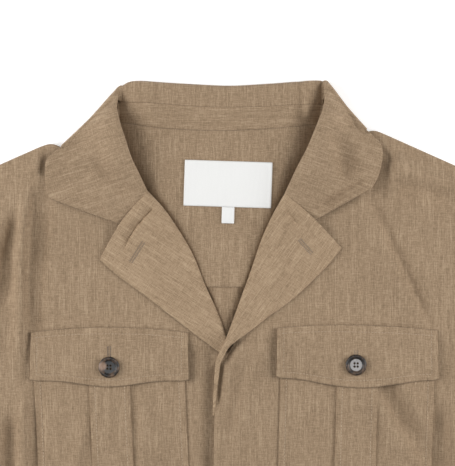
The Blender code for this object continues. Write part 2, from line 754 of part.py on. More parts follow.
def make_button(side):
    """A turned horn button with a rim, a dished middle and four holes."""
    flap = POCKET[side]
    x, y = flap.x, flap.top - flap.button_drop
    seat = flap_z(side, x, y, flap.bow + flap.button_drop) + FLAP_WALL / 2 + SEAM
    points, faces, rings = [], [], []
    for share, height in BUTTON_PROFILE:
        if share == 0.0:
            rings.append([len(points)] * BUTTON_SIDES)
            points.append((x, y, seat + height))
            continue
        rings.append([len(points) + step for step in range(BUTTON_SIDES)])
        for step in range(BUTTON_SIDES):
            angle = 2.0 * math.pi * step / BUTTON_SIDES
            radius = BUTTON_RADIUS * share
            points.append((x + radius * math.cos(angle), y + radius * math.sin(angle), seat + height))
    for low, high in zip(rings, rings[1:]):
        for step in range(BUTTON_SIDES):
            beside = (step + 1) % BUTTON_SIDES
            face = [low[step], low[beside], high[beside], high[step]]
            faces.append(tuple(dict.fromkeys(face)))
    button = add_piece("button_" + side, points, faces, horn)
    points, faces = [], []
    for across_x in (-HOLE_REACH, HOLE_REACH):
        for across_y in (-HOLE_REACH, HOLE_REACH):
            low = len(points)
            high = low + HOLE_SIDES
            for level in (seat - BUTTON_RADIUS, seat + BUTTON_RADIUS):
                for step in range(HOLE_SIDES):
                    angle = 2.0 * math.pi * step / HOLE_SIDES
                    hole_x = x + across_x + HOLE_RADIUS * math.cos(angle)
                    hole_y = y + across_y + HOLE_RADIUS * math.sin(angle)
                    points.append((hole_x, hole_y, level))
            faces.append(tuple(low + step for step in reversed(range(HOLE_SIDES))))
            faces.append(tuple(high + step for step in range(HOLE_SIDES)))
            for step in range(HOLE_SIDES):
                beside = (step + 1) % HOLE_SIDES
                faces.append((low + step, low + beside, high + beside, high + step))
    drill = add_piece("button_holes_" + side, points, faces, horn)
    drill.hide_render = True
    drill.display_type = "WIRE"
    cut = button.modifiers.new("holes", "BOOLEAN")
    cut.operation = "DIFFERENCE"
    cut.object = drill
    return button


def make_label(name, place, width, height, turn):
    """A small woven label that lies on the back facing."""
    rows = []
    for down in range(4):
        row = []
        for right in range(5):
            across_x = width * (right / 4 - 0.5)
            along_y = height * (0.5 - down / 3)
            x = place[0] + across_x * math.cos(turn) - along_y * math.sin(turn)
            y = place[1] + across_x * math.sin(turn) + along_y * math.cos(turn)
            row.append((x, y, facing_z(x, y) + TRIM + SEAM))
        rows.append(row)
    return cloth(name, rows, TRIM, label_tape)


linen = finish("slub_linen", TAUPE, 0.9)
label_tape = finish("label_tape", WHITE, 0.7)
horn = finish("horn", HORN, 0.35)

jacket = bpy.data.objects.new("jacket", None)
jacket.location = (0.0, NECK_SEAM_Y, 0.0)
bpy.context.scene.collection.objects.link(jacket)

make_back()
make_back_facing()
make_collar_stand()
make_collar()
make_fly()
for wearer_side in SIGN:
    make_front(wearer_side)
    make_lapel(wearer_side)
    make_sleeve(wearer_side)
    make_pocket(wearer_side)
    make_flap(wearer_side)
    make_button(wearer_side)
make_label("neck_label", LABEL_PLACE, LABEL_WIDTH, LABEL_HEIGHT, LABEL_TURN)
tag_y = LABEL_PLACE[1] - (LABEL_HEIGHT + TAG_HEIGHT) / 2 - 2 * SEAM
make_label("size_tag", (LABEL_PLACE[0], tag_y), TAG_WIDTH, TAG_HEIGHT, LABEL_TURN)
bpy.context.view_layer.update()
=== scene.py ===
import math

import bpy
import numpy as np
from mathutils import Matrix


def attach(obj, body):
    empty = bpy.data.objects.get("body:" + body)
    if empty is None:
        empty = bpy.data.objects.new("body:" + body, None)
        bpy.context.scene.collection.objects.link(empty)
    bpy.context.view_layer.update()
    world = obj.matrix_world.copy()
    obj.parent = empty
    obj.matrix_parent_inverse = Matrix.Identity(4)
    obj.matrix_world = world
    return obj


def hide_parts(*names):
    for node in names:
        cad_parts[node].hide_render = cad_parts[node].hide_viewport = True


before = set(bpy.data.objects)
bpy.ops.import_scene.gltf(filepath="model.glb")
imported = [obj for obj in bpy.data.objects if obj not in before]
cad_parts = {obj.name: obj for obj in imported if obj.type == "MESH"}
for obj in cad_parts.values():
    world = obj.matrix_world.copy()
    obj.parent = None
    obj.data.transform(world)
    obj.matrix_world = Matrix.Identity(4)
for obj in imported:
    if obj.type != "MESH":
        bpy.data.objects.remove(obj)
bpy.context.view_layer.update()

# Back panel
# One wide piece of taupe slub linen in plain weave, from the neck seam and shoulders down to the hem.
# It lies face down on the floor, and the fronts, sleeves and collar are sewn to its edges.
MM = 0.001
NECK_SEAM = 0.2721
LINEN_WALL = 1.2 * MM
SHOULDER_HALF = 0.265
SHOULDER_FALL = math.radians(23.8)
UNDERARM_HALF, UNDERARM_Y = 0.290, -0.307
HEM_HALF, HEM_Y = 0.282, -0.590
SIGN = {"right": -1.0, "left": 1.0}
ARMHOLE = (
    (SHOULDER_HALF, -0.0575),
    (0.262, -0.086),
    (0.259, -0.129),
    (0.259, -0.184),
    (0.263, -0.234),
    (0.275, -0.279),
    (UNDERARM_HALF, UNDERARM_Y),
)
SIDE_SEAM = (UNDERARM_Y, -0.330, -0.360, -0.390, HEM_Y)
UNDERARM_PLACE = len(ARMHOLE) - 1
HEM_PLACE = UNDERARM_PLACE + len(SIDE_SEAM) - 1
# Shoulder line at the neck, and the dip where the collar presses on it: neck x, y, dip x, depth, reach
SHOULDER = {"right": (-0.104, 0.0130, -0.144, 0.0105, 0.010), "left": (0.097, 0.0170, 0.1220, 0.0078, 0.008)}
# Rows across the neck: x, top fold of the collar, collar to stand seam, neck seam
NECK_ROWS = np.array((
    (-0.0975, 0.0400, 0.0260, 0.0078),
    (-0.0936, 0.0410, 0.0262, 0.0070),
    (-0.0837, 0.0448, 0.0262, 0.0056),
    (-0.0600, 0.0438, 0.0250, 0.0022),
    (-0.0300, 0.0420, 0.0226, 0.0006),
    (0.0036, 0.0406, 0.0216, 0.0000),
    (0.0351, 0.0422, 0.0224, 0.0014),
    (0.0600, 0.0438, 0.0236, 0.0034),
    (0.0820, 0.0456, 0.0243, 0.0056),
    (0.0872, 0.0450, 0.0244, 0.0065),
    (0.0890, 0.0450, 0.0245, 0.0070),
))
NECK_LIFT, NECK_MIDDLE, LIFT_HALF, LIFT_END_Y, LIFT_RAMP = 0.0024, -0.012, 0.150, -0.045, 0.065
# Soft rucks in the back, which rise off the floor: path, half widths to the left and right of it, height
BACK_RUCKS = (
    (((-120, -170), (-150, -330), (-140, -470)), 16, 24, 0.9),
    (((-20, -240), (10, -380), (-5, -520)), 20, 14, 0.7),
    (((150, -150), (165, -290), (140, -420)), 22, 15, 0.9),
    (((210, -360), (190, -480), (205, -570)), 14, 20, 0.6),
)
RUCK_FADE = 0.05
# Creases rise and fall away over one part in this many of their length
CREASE_TAPER = 3.5
# How far the rounded edge of a wall stands out, as a share of its thickness
EDGE_ROUND = 0.42


def smooth(value):
    value = np.clip(value, 0.0, 1.0)
    return value * value * (3.0 - 2.0 * value)


def mix(first, second, share):
    return first + (second - first) * share


def grid_of(*columns):
    return np.stack(np.broadcast_arrays(*columns), axis=-1)


def held_slope(before, here, there):
    """Slope of a smooth curve at a row of a table, held back beside a much longer step."""
    back, on = here - before, there - here
    back_size, on_size = np.abs(back), np.abs(on)
    short = np.minimum(np.where(back_size, back_size, on_size), np.where(on_size, on_size, back_size))
    return np.clip((back + on) / 2.0, -3.0 * short, 3.0 * short)


def along(table, places):
    """Values at places along the rows of a table, on a smooth curve through them."""
    rows = np.asarray(table, float)
    places = np.asarray(places, float)
    last = len(rows) - 1
    start = np.clip(places.astype(int), 0, last - 1)
    share = (places - start)[..., None]
    before, here, there, after = (rows[np.clip(start + step, 0, last)] for step in (-1, 0, 1, 2))
    leave, arrive = held_slope(before, here, there), held_slope(here, there, after)
    bend = 3.0 * (there - here) - 2.0 * leave - arrive
    twist = 2.0 * (here - there) + leave + arrive
    return here + share * (leave + share * (bend + share * twist))


def shoulder_dip(side, x):
    _, _, dip_x, depth, reach = SHOULDER[side]
    return depth * np.exp(-(((x - dip_x) / reach) ** 2))


def shoulder_y(side, x):
    """The folded shoulder edge in plan."""
    neck_x, neck_y = SHOULDER[side][:2]
    fall = (ARMHOLE[0][1] - neck_y) / (SIGN[side] * SHOULDER_HALF - neck_x)
    return neck_y + (x - neck_x) * fall - shoulder_dip(side, x)


def side_half(y):
    return mix(UNDERARM_HALF, HEM_HALF, (UNDERARM_Y - y) / (UNDERARM_Y - HEM_Y))


def outer_points(places):
    """Points on the body's outer edge, down the armhole and then the side seam: half_x, y."""
    armhole = along(ARMHOLE, np.minimum(places, UNDERARM_PLACE))
    y = np.interp(places, UNDERARM_PLACE + np.arange(len(SIDE_SEAM)), SIDE_SEAM)
    return np.where((places <= UNDERARM_PLACE)[:, None], armhole, grid_of(side_half(y), y))


def neck_lift(x, y):
    """Lift of the body over the part of the collar that lies under it."""
    upper = 1.0 - smooth((LIFT_END_Y - y) / LIFT_RAMP)
    inside = 1.0 - smooth((np.abs(x - NECK_MIDDLE) - LIFT_HALF) / LIFT_RAMP)
    return NECK_LIFT * upper * inside


def crease_rise(x, y, creases):
    """Height of creases given in mm as a path, half widths left and right of it, and a rise or a fall."""
    rise = np.zeros_like(x)
    for path, left_width, right_width, height in creases:
        knots = np.array(path, float) * MM
        runs = np.diff(knots, axis=0)
        lengths = np.hypot(*runs.T)
        starts = np.concatenate([[0.0], np.cumsum(lengths)])
        nearest, leftward, place = np.full(x.shape, np.inf), np.zeros_like(x), np.zeros_like(x)
        for knot, run, length, start in zip(knots, runs, lengths, starts):
            share = np.clip(((x - knot[0]) * run[0] + (y - knot[1]) * run[1]) / length**2, 0.0, 1.0)
            off_x, off_y = x - knot[0] - share * run[0], y - knot[1] - share * run[1]
            away = np.hypot(off_x, off_y)
            closer = away < nearest
            nearest = np.where(closer, away, nearest)
            leftward = np.where(closer, run[0] * off_y - run[1] * off_x, leftward)
            place = np.where(closer, (start + share * length) / starts[-1], place)
        width = np.where(leftward > 0.0, left_width, right_width) * MM
        ends = smooth(CREASE_TAPER * place) * smooth(CREASE_TAPER * (1.0 - place))
        rise += height * MM * ends * np.exp(-((nearest / width) ** 2))
    return rise


# Roll lines of the collar and lapels, between which the neck is open, and the loose cloth there, in mm:
# y, right x, its fall, left x, its fall, height
NECK_OPENING = np.array((
    (45, -94, 24, 83, 16, 7.5),
    (24, -96, 27, 85.5, 19, 7.5),
    (6, -95, 31, 82, 24, 7.5),
    (-15, -88, 29, 73, 22, 7.5),
    (-36, -80, 23, 63, 18, 7.5),
    (-55, -71, 15, 54, 12, 7.5),
    (-78, -52, 8, 43, 7, 8.0),
    (-99, -39, 6, 34, 5, 8.8),
    (-127, -25.5, 5, 23.5, 4, 9.6),
    (-150, -15.5, 4, 15.5, 3.5, 9.2),
    (-190, 0, 3, 1, 3, 6.5),
)) * MM
# Folds in the band and the stand, beside the corners of the collar
NECK_FOLDS = (
    (((60, 60), (60, 32), (56, 8), (48, -14)), 13, 9, 3.6),
    (((-70, 60), (-72, 34), (-66, 10), (-60, -8)), 8, 12, 3.0),
    (((60, 66), (63, 38), (66, 24), (70, 4)), 3.4, 3.4, -2.6),
    (((72, 66), (73, 40), (74, 24), (75, 8)), 3.6, 4.0, 1.8),
)
# Where the fullness passes from the facing to the back below it
BULGE_Y, BULGE_RAMP = -0.095, 0.035


def neck_fullness(x, y):
    """Height of the loose cloth in the neck, which falls ever more steeply to the rolls on both sides."""
    levels, columns = -NECK_OPENING[:, 0], NECK_OPENING[:, 1:].T
    right, right_fall, left, left_fall, height = (np.interp(-y, levels, column) for column in columns)
    for from_roll, fall in ((x - right, right_fall), (left - x, left_fall)):
        height = height * (1.0 - (1.0 - np.clip(from_roll / fall, 0.0, 1.0)) ** 3)
    return height + crease_rise(x, y, NECK_FOLDS)


def back_z(x, y):
    below = smooth((BULGE_Y - y) / BULGE_RAMP)
    return LINEN_WALL / 2 + neck_lift(x, y) + neck_fullness(x, y) * below


def feed(tree, node, inputs):
    """Links a node's inputs to the outputs of others, or sets them to values."""
    for key, value in inputs.items():
        if isinstance(value, bpy.types.NodeSocket):
            tree.links.new(value, node.inputs[key])
        else:
            node.inputs[key].default_value = value


def put(tree, kind, inputs=None, **settings):
    """First output of a new node with these settings and inputs."""
    node = tree.nodes.new(kind)
    for key, value in settings.items():
        setattr(node, key, value)
    feed(tree, node, inputs or {})
    return node.outputs[0]


def calculate(tree, operation, first, second):
    return put(tree, "ShaderNodeMath", {0: first, 1: second}, operation=operation)


def centred(tree, noise, share):
    """A noise between 0 and 1, moved to lie round 0 and scaled."""
    return calculate(tree, "MULTIPLY", calculate(tree, "SUBTRACT", noise, 0.5), share)


def rescale(tree, value, low, high, first=0.0, last=1.0, course="LINEAR"):
    """The stretch of a value from low to high, made to run from first to last."""
    limits = {0: value, 1: low, 2: high, 3: first, 4: last}
    return put(tree, "ShaderNodeMapRange", limits, interpolation_type=course)


def shades(tree, tone, dark, pale, middle=None):
    """Colours that run from dark to pale along a tone."""
    ramp = tree.nodes.new("ShaderNodeValToRGB")
    ramp.color_ramp.elements[0].color = (*dark, 1.0)
    ramp.color_ramp.elements[1].color = (*pale, 1.0)
    if middle:
        ramp.color_ramp.elements.new(0.5).color = (*middle, 1.0)
    tree.links.new(tone, ramp.inputs["Fac"])
    return ramp.outputs["Color"]


def relief(tree, height, strength, depth):
    return put(tree, "ShaderNodeBump", {"Strength": strength, "Distance": depth, "Height": height})


def new_material(name):
    """A material, its node tree and its shader."""
    material = bpy.data.materials.new(name)
    material.use_nodes = True
    return material, material.node_tree, material.node_tree.nodes["Principled BSDF"]


def add_sockets(tree, way, **kinds):
    """Named inputs or outputs of a node group, each of a kind such as Float."""
    for name, kind in kinds.items():
        tree.interface.new_socket(name, in_out=way, socket_type="NodeSocket" + kind)


def make_slub_weave():
    """Plain weave of uneven yarns: fine streaks both ways, sparse thick slubs and a soft cloudiness."""
    tree = bpy.data.node_groups.new("slub_weave", "ShaderNodeTree")
    add_sockets(tree, "INPUT", Threads="Vector", Streaks="Float", Slubs="Float", Clouds="Float")
    add_sockets(tree, "OUTPUT", Tone="Float", Height="Float")
    given = tree.nodes.new("NodeGroupInput").outputs

    def yarns(across_mm, along_mm, shift, detail):
        """Noise drawn out along the yarns, which run upwards where across_mm is the smaller."""
        closeness = (1.0 / (across_mm * MM), 1.0 / (along_mm * MM), 1.0)
        laid = {0: given["Threads"], 1: closeness, 2: (shift, -shift, 0.0)}
        place = put(tree, "ShaderNodeVectorMath", laid, operation="MULTIPLY_ADD")
        noise = {"Vector": place, "Scale": 1.0, "Detail": detail, "Roughness": 0.6}
        return put(tree, "ShaderNodeTexNoise", noise, noise_dimensions="2D")

    def thick(noise):
        return rescale(tree, noise, 0.63, 0.74, course="SMOOTHSTEP")

    warp = centred(tree, yarns(0.95, 6.2, 3.1, 1.0), 1.0)
    weft = centred(tree, yarns(5.6, 0.85, 17.7, 1.0), 0.85)
    flecks = centred(tree, yarns(0.8, 0.9, 120.5, 0.0), 0.5)
    streaks = calculate(tree, "ADD", calculate(tree, "ADD", warp, weft), flecks)
    long_slubs, cross_slubs = thick(yarns(1.2, 30.0, 41.3, 0.0)), thick(yarns(16.0, 0.9, 63.9, 0.0))
    slubs = calculate(tree, "ADD", long_slubs, calculate(tree, "MULTIPLY", cross_slubs, 0.55))
    cloudy = centred(tree, yarns(4.6, 42.0, 88.2, 2.0), given["Clouds"])
    tone = calculate(tree, "MULTIPLY", streaks, given["Streaks"])
    tone = calculate(tree, "ADD", tone, calculate(tree, "MULTIPLY", slubs, given["Slubs"]))
    tone = calculate(tree, "ADD", calculate(tree, "ADD", tone, cloudy), 0.5)
    height = calculate(tree, "ADD", streaks, calculate(tree, "MULTIPLY", slubs, 0.6))
    feed(tree, tree.nodes.new("NodeGroupOutput"), {"Tone": tone, "Height": height})
    return tree


slub_weave = make_slub_weave()


def woven(tree, streaks, slubs, clouds):
    """Tone and height of the weave in a material, along the yarns of its piece."""
    weave = tree.nodes.new("ShaderNodeGroup")
    weave.node_tree = slub_weave
    threads = put(tree, "ShaderNodeUVMap", uv_map="threads")
    feed(tree, weave, {"Threads": threads, "Streaks": streaks, "Slubs": slubs, "Clouds": clouds})
    return weave.outputs["Tone"], weave.outputs["Height"]


def make_linen(name, dark, middle, pale):
    """Soft matte linen, whose yarns run from a dark to a pale taupe."""
    material, tree, shader = new_material(name)
    tone, height = woven(tree, streaks=0.60, slubs=0.18, clouds=0.40)
    feed(tree, shader, {
        "Base Color": shades(tree, tone, dark, pale, middle),
        "Roughness": rescale(tree, tone, 0.0, 1.0, 0.92, 0.78),
        "Normal": relief(tree, height, 0.35, 0.35 * MM),
        "Specular IOR Level": 0.2,
        "Sheen Weight": 0.12,
        "Sheen Roughness": 0.55,
        "Sheen Tint": (0.95, 0.85, 0.72, 1.0),
    })
    return material


linen = make_linen("slub_linen", (0.158, 0.108, 0.065), (0.285, 0.200, 0.125), (0.416, 0.307, 0.202))


def directions(points, tube=False):
    """Unit normals of a grid of points, on the side from which its rows run down and its columns right."""
    down = np.gradient(points, axis=0)
    over = np.gradient(points, axis=1)
    if tube:
        over = (np.roll(points, -1, axis=1) - np.roll(points, 1, axis=1)) / 2.0
    out = np.cross(down, over)
    return out / np.maximum(np.linalg.norm(out, axis=2, keepdims=True), 1e-12)


def upper_face(points, wall):
    """The side of a wall that looks up."""
    out = directions(points)
    return points + out * np.where(out[..., 2:] < 0.0, -wall / 2, wall / 2)


def add_object(name, data):
    made = bpy.data.objects.new(name, data)
    bpy.context.scene.collection.objects.link(made)
    return made


def add_mesh(name, points, faces, material, threads=None):
    """A smooth-shaded piece in the row frame from plan points, with its yarn directions as a UV map."""
    mesh = bpy.data.meshes.new(name)
    mesh.from_pydata((points + (0.0, NECK_SEAM, 0.0)).tolist(), [], faces)
    mesh.update()
    mesh.shade_smooth()
    mesh.materials.append(material)
    if threads is not None:
        corners = np.empty(len(mesh.loops), np.int32)
        mesh.loops.foreach_get("vertex_index", corners)
        mesh.uv_layers.new(name="threads").data.foreach_set("uv", threads[corners].ravel())
    return add_object(name, mesh)


def wall_of_cloth(name, points, wall, threads, material, shift=(0.0, 0.0), tube=False):
    """A closed thin wall through a grid of points on its middle surface, rounded along its edges.

    The shift of its yarns keeps two pieces from showing the same slubs.
    """
    threads = threads + shift
    if not tube and directions(points)[..., 2].mean() < 0.0:
        points, threads = points[:, ::-1], threads[:, ::-1]
    rows, columns = points.shape[:2]
    out = directions(points, tube)
    index = np.arange(rows * columns).reshape(rows, columns)
    ring = np.concatenate([index, index[:, :1]], axis=1) if tube else index
    front = grid_of(ring[:-1, :-1], ring[1:, :-1], ring[1:, 1:], ring[:-1, 1:]).reshape(-1, 4)
    row, column = np.indices((rows, columns))
    inner_column = column if tube else np.clip(column, 1, columns - 2)
    outward = points - points[np.clip(row, 1, rows - 2), inner_column]
    outward -= out * (outward * out).sum(axis=2, keepdims=True)
    outward /= np.maximum(np.linalg.norm(outward, axis=2, keepdims=True), 1e-12)
    flat_points, flat_threads = points.reshape(-1, 3), threads.reshape(-1, 2)
    sides = [(points + out * wall / 2).reshape(-1, 3), (points - out * wall / 2).reshape(-1, 3)]
    under = rows * columns
    faces = [front, front[:, ::-1] + under]
    yarns = [flat_threads, flat_threads]
    count = 2 * under
    round_edge = np.concatenate([index[0], index[1:, -1], index[-1, -2::-1], index[-2:0:-1, 0]])
    for edge in (index[0], index[-1][::-1]) if tube else (round_edge,):
        middle = count + np.arange(len(edge))
        sides.append(flat_points[edge] + outward.reshape(-1, 3)[edge] * wall * EDGE_ROUND)
        yarns.append(flat_threads[edge])
        after, middle_after = np.roll(edge, -1), np.roll(middle, -1)
        faces.append(grid_of(edge, after, middle_after, middle))
        faces.append(grid_of(middle, middle_after, after + under, edge + under))
        count += len(edge)
    points, faces = np.concatenate(sides), np.concatenate(faces).tolist()
    return add_mesh(name, points, faces, material, np.concatenate(yarns))


def place_cloth(piece, node):
    """The piece stands for its solid: it joins the root body, and the solid is hidden."""
    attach(piece, "root")
    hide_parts(node)


def steps(first, *stretches):
    """Places from a first one on, in stretches that have an end and a number of steps."""
    places = [np.array([first])]
    for end, count in stretches:
        places.append(np.linspace(places[-1][-1], end, count + 1)[1:])
    return np.concatenate(places)


neck_ends = [SHOULDER[side][:2] for side in ("right", "left")]
neck_x = np.concatenate([neck_ends[0][:1], NECK_ROWS[:, 0], neck_ends[1][:1]])
neck_y = np.concatenate([neck_ends[0][1:], NECK_ROWS[:, 3], neck_ends[1][1:]])
back_x = np.linspace(-SHOULDER_HALF, SHOULDER_HALF, 101)
back_top = np.where(back_x < 0.0, shoulder_y("right", back_x), shoulder_y("left", back_x))
in_neck = (back_x > neck_x[0]) & (back_x < neck_x[-1])
back_top = np.where(in_neck, np.interp(back_x, neck_x, neck_y), back_top)
back_places = steps(0.0, (UNDERARM_PLACE, 39), (HEM_PLACE, 35))
back_half, back_level = outer_points(back_places).T[..., None]
arch = np.maximum(1.0 - back_places / UNDERARM_PLACE, 0.0)[:, None]
x = back_x * back_half / SHOULDER_HALF
y = back_level + (back_top - ARMHOLE[0][1]) * arch
inside = smooth((side_half(y) - np.abs(x)) / RUCK_FADE)
z = back_z(x, y) + crease_rise(x, y, BACK_RUCKS) * inside
back_cloth = wall_of_cloth("back_cloth", grid_of(x, y, z), LINEN_WALL, grid_of(x, y), linen)
place_cloth(back_cloth, "back")

# Back facing
# An inner yoke of the same linen, sewn to the neck seam and left free below, where its edge is turned under.
# It carries the label, and shows in the neck opening.
TRIM_WALL = 1.0 * MM
SEAM_GAP = 0.4 * MM
YOKE_Y, YOKE_HALF, YOKE_MARGIN = -0.1400, 0.225, 0.013
# Shallow puckers below the label and the neck seam
YOKE_PUCKERS = (
    (((-58, -20), (-50, -70), (-44, -132)), 7, 11, 0.7),
    (((54, -22), (48, -64), (30, -128)), 11, 7, 0.6),
    (((-14, -86), (-10, -112), (-12, -138)), 6, 8, 0.5),
    (((8, -8), (-30, -12), (-70, -6)), 4, 5, 0.3),
)


def facing_z(x, y):
    above = smooth((y - BULGE_Y) / BULGE_RAMP + 1.0)
    return back_z(x, y) + LINEN_WALL / 2 + SEAM_GAP + TRIM_WALL / 2 + neck_fullness(x, y) * above


def yoke_top(side, x):
    at_neck = SHOULDER[side][0]
    margin = YOKE_MARGIN * smooth(np.abs(x - at_neck) / YOKE_MARGIN)
    return np.minimum(shoulder_y(side, x), shoulder_y(side, at_neck)) - margin


yoke_x = np.linspace(-YOKE_HALF, YOKE_HALF, 151)
top = np.where(yoke_x < 0.0, yoke_top("right", yoke_x), yoke_top("left", yoke_x))
in_seam = (yoke_x >= NECK_ROWS[0, 0]) & (yoke_x <= NECK_ROWS[-1, 0])
top = np.where(in_seam, np.interp(yoke_x, NECK_ROWS[:, 0], NECK_ROWS[:, 3]) - SEAM_GAP / 2, top)
y = mix(top, YOKE_Y, np.linspace(0.0, 1.0, 52)[:, None])
x = np.broadcast_to(yoke_x, y.shape)
z = facing_z(x, y) + crease_rise(x, y, YOKE_PUCKERS)
yoke = wall_of_cloth("yoke_cloth", grid_of(x, y, z), TRIM_WALL, grid_of(x, y), linen, shift=(0.0, 0.31))
place_cloth(yoke, "back_facing")

# Neck label and size tag
# A blank white woven label with its ends folded under, and a small tag below it, both of damask tape.
# They are sewn to the facing under the neck seam.
LABEL_WIDTH, LABEL_HEIGHT = 0.078, 0.0405
LABEL_PLACE = (0.0018, -0.0478)
LABEL_TURN = math.radians(-1.8)
TAG_WIDTH, TAG_HEIGHT = 0.0105, 0.0140
# Length of a folded end and of the slope beside it, how far it rises, and how far the middle bows up
LABEL_FOLD, FOLD_SLOPE, FOLD_RISE, LABEL_BOW = 2.2 * MM, 0.5 * MM, 0.25 * MM, 0.5 * MM
# How much finer the tape's yarns are than the linen's
TAPE_FINENESS = 2.0


def make_label_tape():
    """Fine damask tape, with yarns closer than the eye sees from a step away."""
    material, tree, shader = new_material("label_tape")
    tone, height = woven(tree, streaks=0.5, slubs=0.0, clouds=0.5)
    feed(tree, shader, {
        "Base Color": shades(tree, tone, (0.735, 0.735, 0.720), (0.785, 0.785, 0.770)),
        "Roughness": rescale(tree, tone, 0.0, 1.0, 0.6, 0.45),
        "Normal": relief(tree, height, 0.2, 0.1 * MM),
        "Sheen Weight": 0.05,
    })
    return material


label_tape = make_label_tape()
tag_place = (LABEL_PLACE[0], LABEL_PLACE[1] - (LABEL_HEIGHT + TAG_HEIGHT) / 2 - 2 * SEAM_GAP)
for name, node, middle, width, height in (
    ("blank_label", "neck_label", LABEL_PLACE, LABEL_WIDTH, LABEL_HEIGHT),
    ("blank_size_tag", "size_tag", tag_place, TAG_WIDTH, TAG_HEIGHT),
):
    over = np.linspace(-0.5, 0.5, 61) * width
    up = np.linspace(0.5, -0.5, 33)[:, None] * height
    x = middle[0] + over * math.cos(LABEL_TURN) - up * math.sin(LABEL_TURN)
    y = middle[1] + over * math.sin(LABEL_TURN) + up * math.cos(LABEL_TURN)
    from_end = width / 2 - np.abs(over)
    folded = FOLD_RISE * (1.0 - smooth((from_end - LABEL_FOLD) / FOLD_SLOPE))
    lift = LABEL_BOW * np.sin(np.pi * (over / width + 0.5)) * np.cos(np.pi * up / height)
    z = facing_z(x, y) + crease_rise(x, y, YOKE_PUCKERS) + TRIM_WALL + SEAM_GAP + folded + lift
    fine_yarns = grid_of(over, up) * TAPE_FINENESS
    label = wall_of_cloth(name, grid_of(x, y, z), TRIM_WALL, fine_yarns, label_tape)
    place_cloth(label, node)

# Collar stand
# A narrow inner band of linen between the neck seam and the collar, which keeps the collar up when worn.
# Here it lies loosely over the back, with a seam along each edge.
STAND_BOW = 1.0 * MM
stand_places = np.linspace(0.0, len(NECK_ROWS) - 1, 161)
stand_x, _, stand_top, stand_foot = along(NECK_ROWS, stand_places).T
across = np.linspace(0.0, 1.0, 16)[:, None]
y = mix(stand_foot + SEAM_GAP / 2, stand_top - SEAM_GAP / 4, across)
x = np.broadcast_to(stand_x, y.shape)
z = LINEN_WALL / 2 + NECK_LIFT + STAND_BOW * np.sin(np.pi * across) + neck_fullness(x, y)
stand = wall_of_cloth("stand_cloth", grid_of(x, y, z), LINEN_WALL, grid_of(y, x), linen, shift=(-0.2, 0.0))
place_cloth(stand, "collar_stand")

# Fronts
# Two linen panels from the shoulder fold and armhole to the hem, the wearer's left over the right.
# They lie loosely on the back, so the cloth rises and sinks in long soft folds beside the collar and pockets.
FOLD_RADIUS, UPPER_Z, SWELL = 0.0013, 0.0064, 0.024
OVERLAP_RISE, OVERLAP_START, OVERLAP_END = 0.0032, 0.032, 0.078
BREAK_RISE, BREAK_Y, BREAK_REACH = 0.0028, -0.198, 0.022
FOLD_FADE, DEEPEST_FOLD, DEEPEST_ON_YOKE, YOKE_RAMP = 0.016, 0.0045, 0.0029, 0.030
DIP_ROWS = 1.5
# Inner edges, from the neck along the roll line and the front edge to the hem: x, y
FRONT_EDGE = {
    "right": (
        (-0.104, 0.013),
        (-0.104, 0.000),
        (-0.096, -0.022),
        (-0.078, -0.055),
        (-0.053, -0.083),
        (-0.0315, -0.120),
        (-0.0155, -0.158),
        (-0.002, -0.190),
        (0.014, -0.215),
        (0.027, -0.245),
        (0.027, HEM_Y),
    ),
    "left": (
        (0.097, 0.017),
        (0.094, 0.000),
        (0.083, -0.022),
        (0.060, -0.057),
        (0.042, -0.089),
        (0.0285, -0.125),
        (0.0185, -0.158),
        (0.0120, -0.182),
        (0.0018, -0.202),
        (-0.0086, -0.222),
        (-0.0135, HEM_Y),
    ),
}
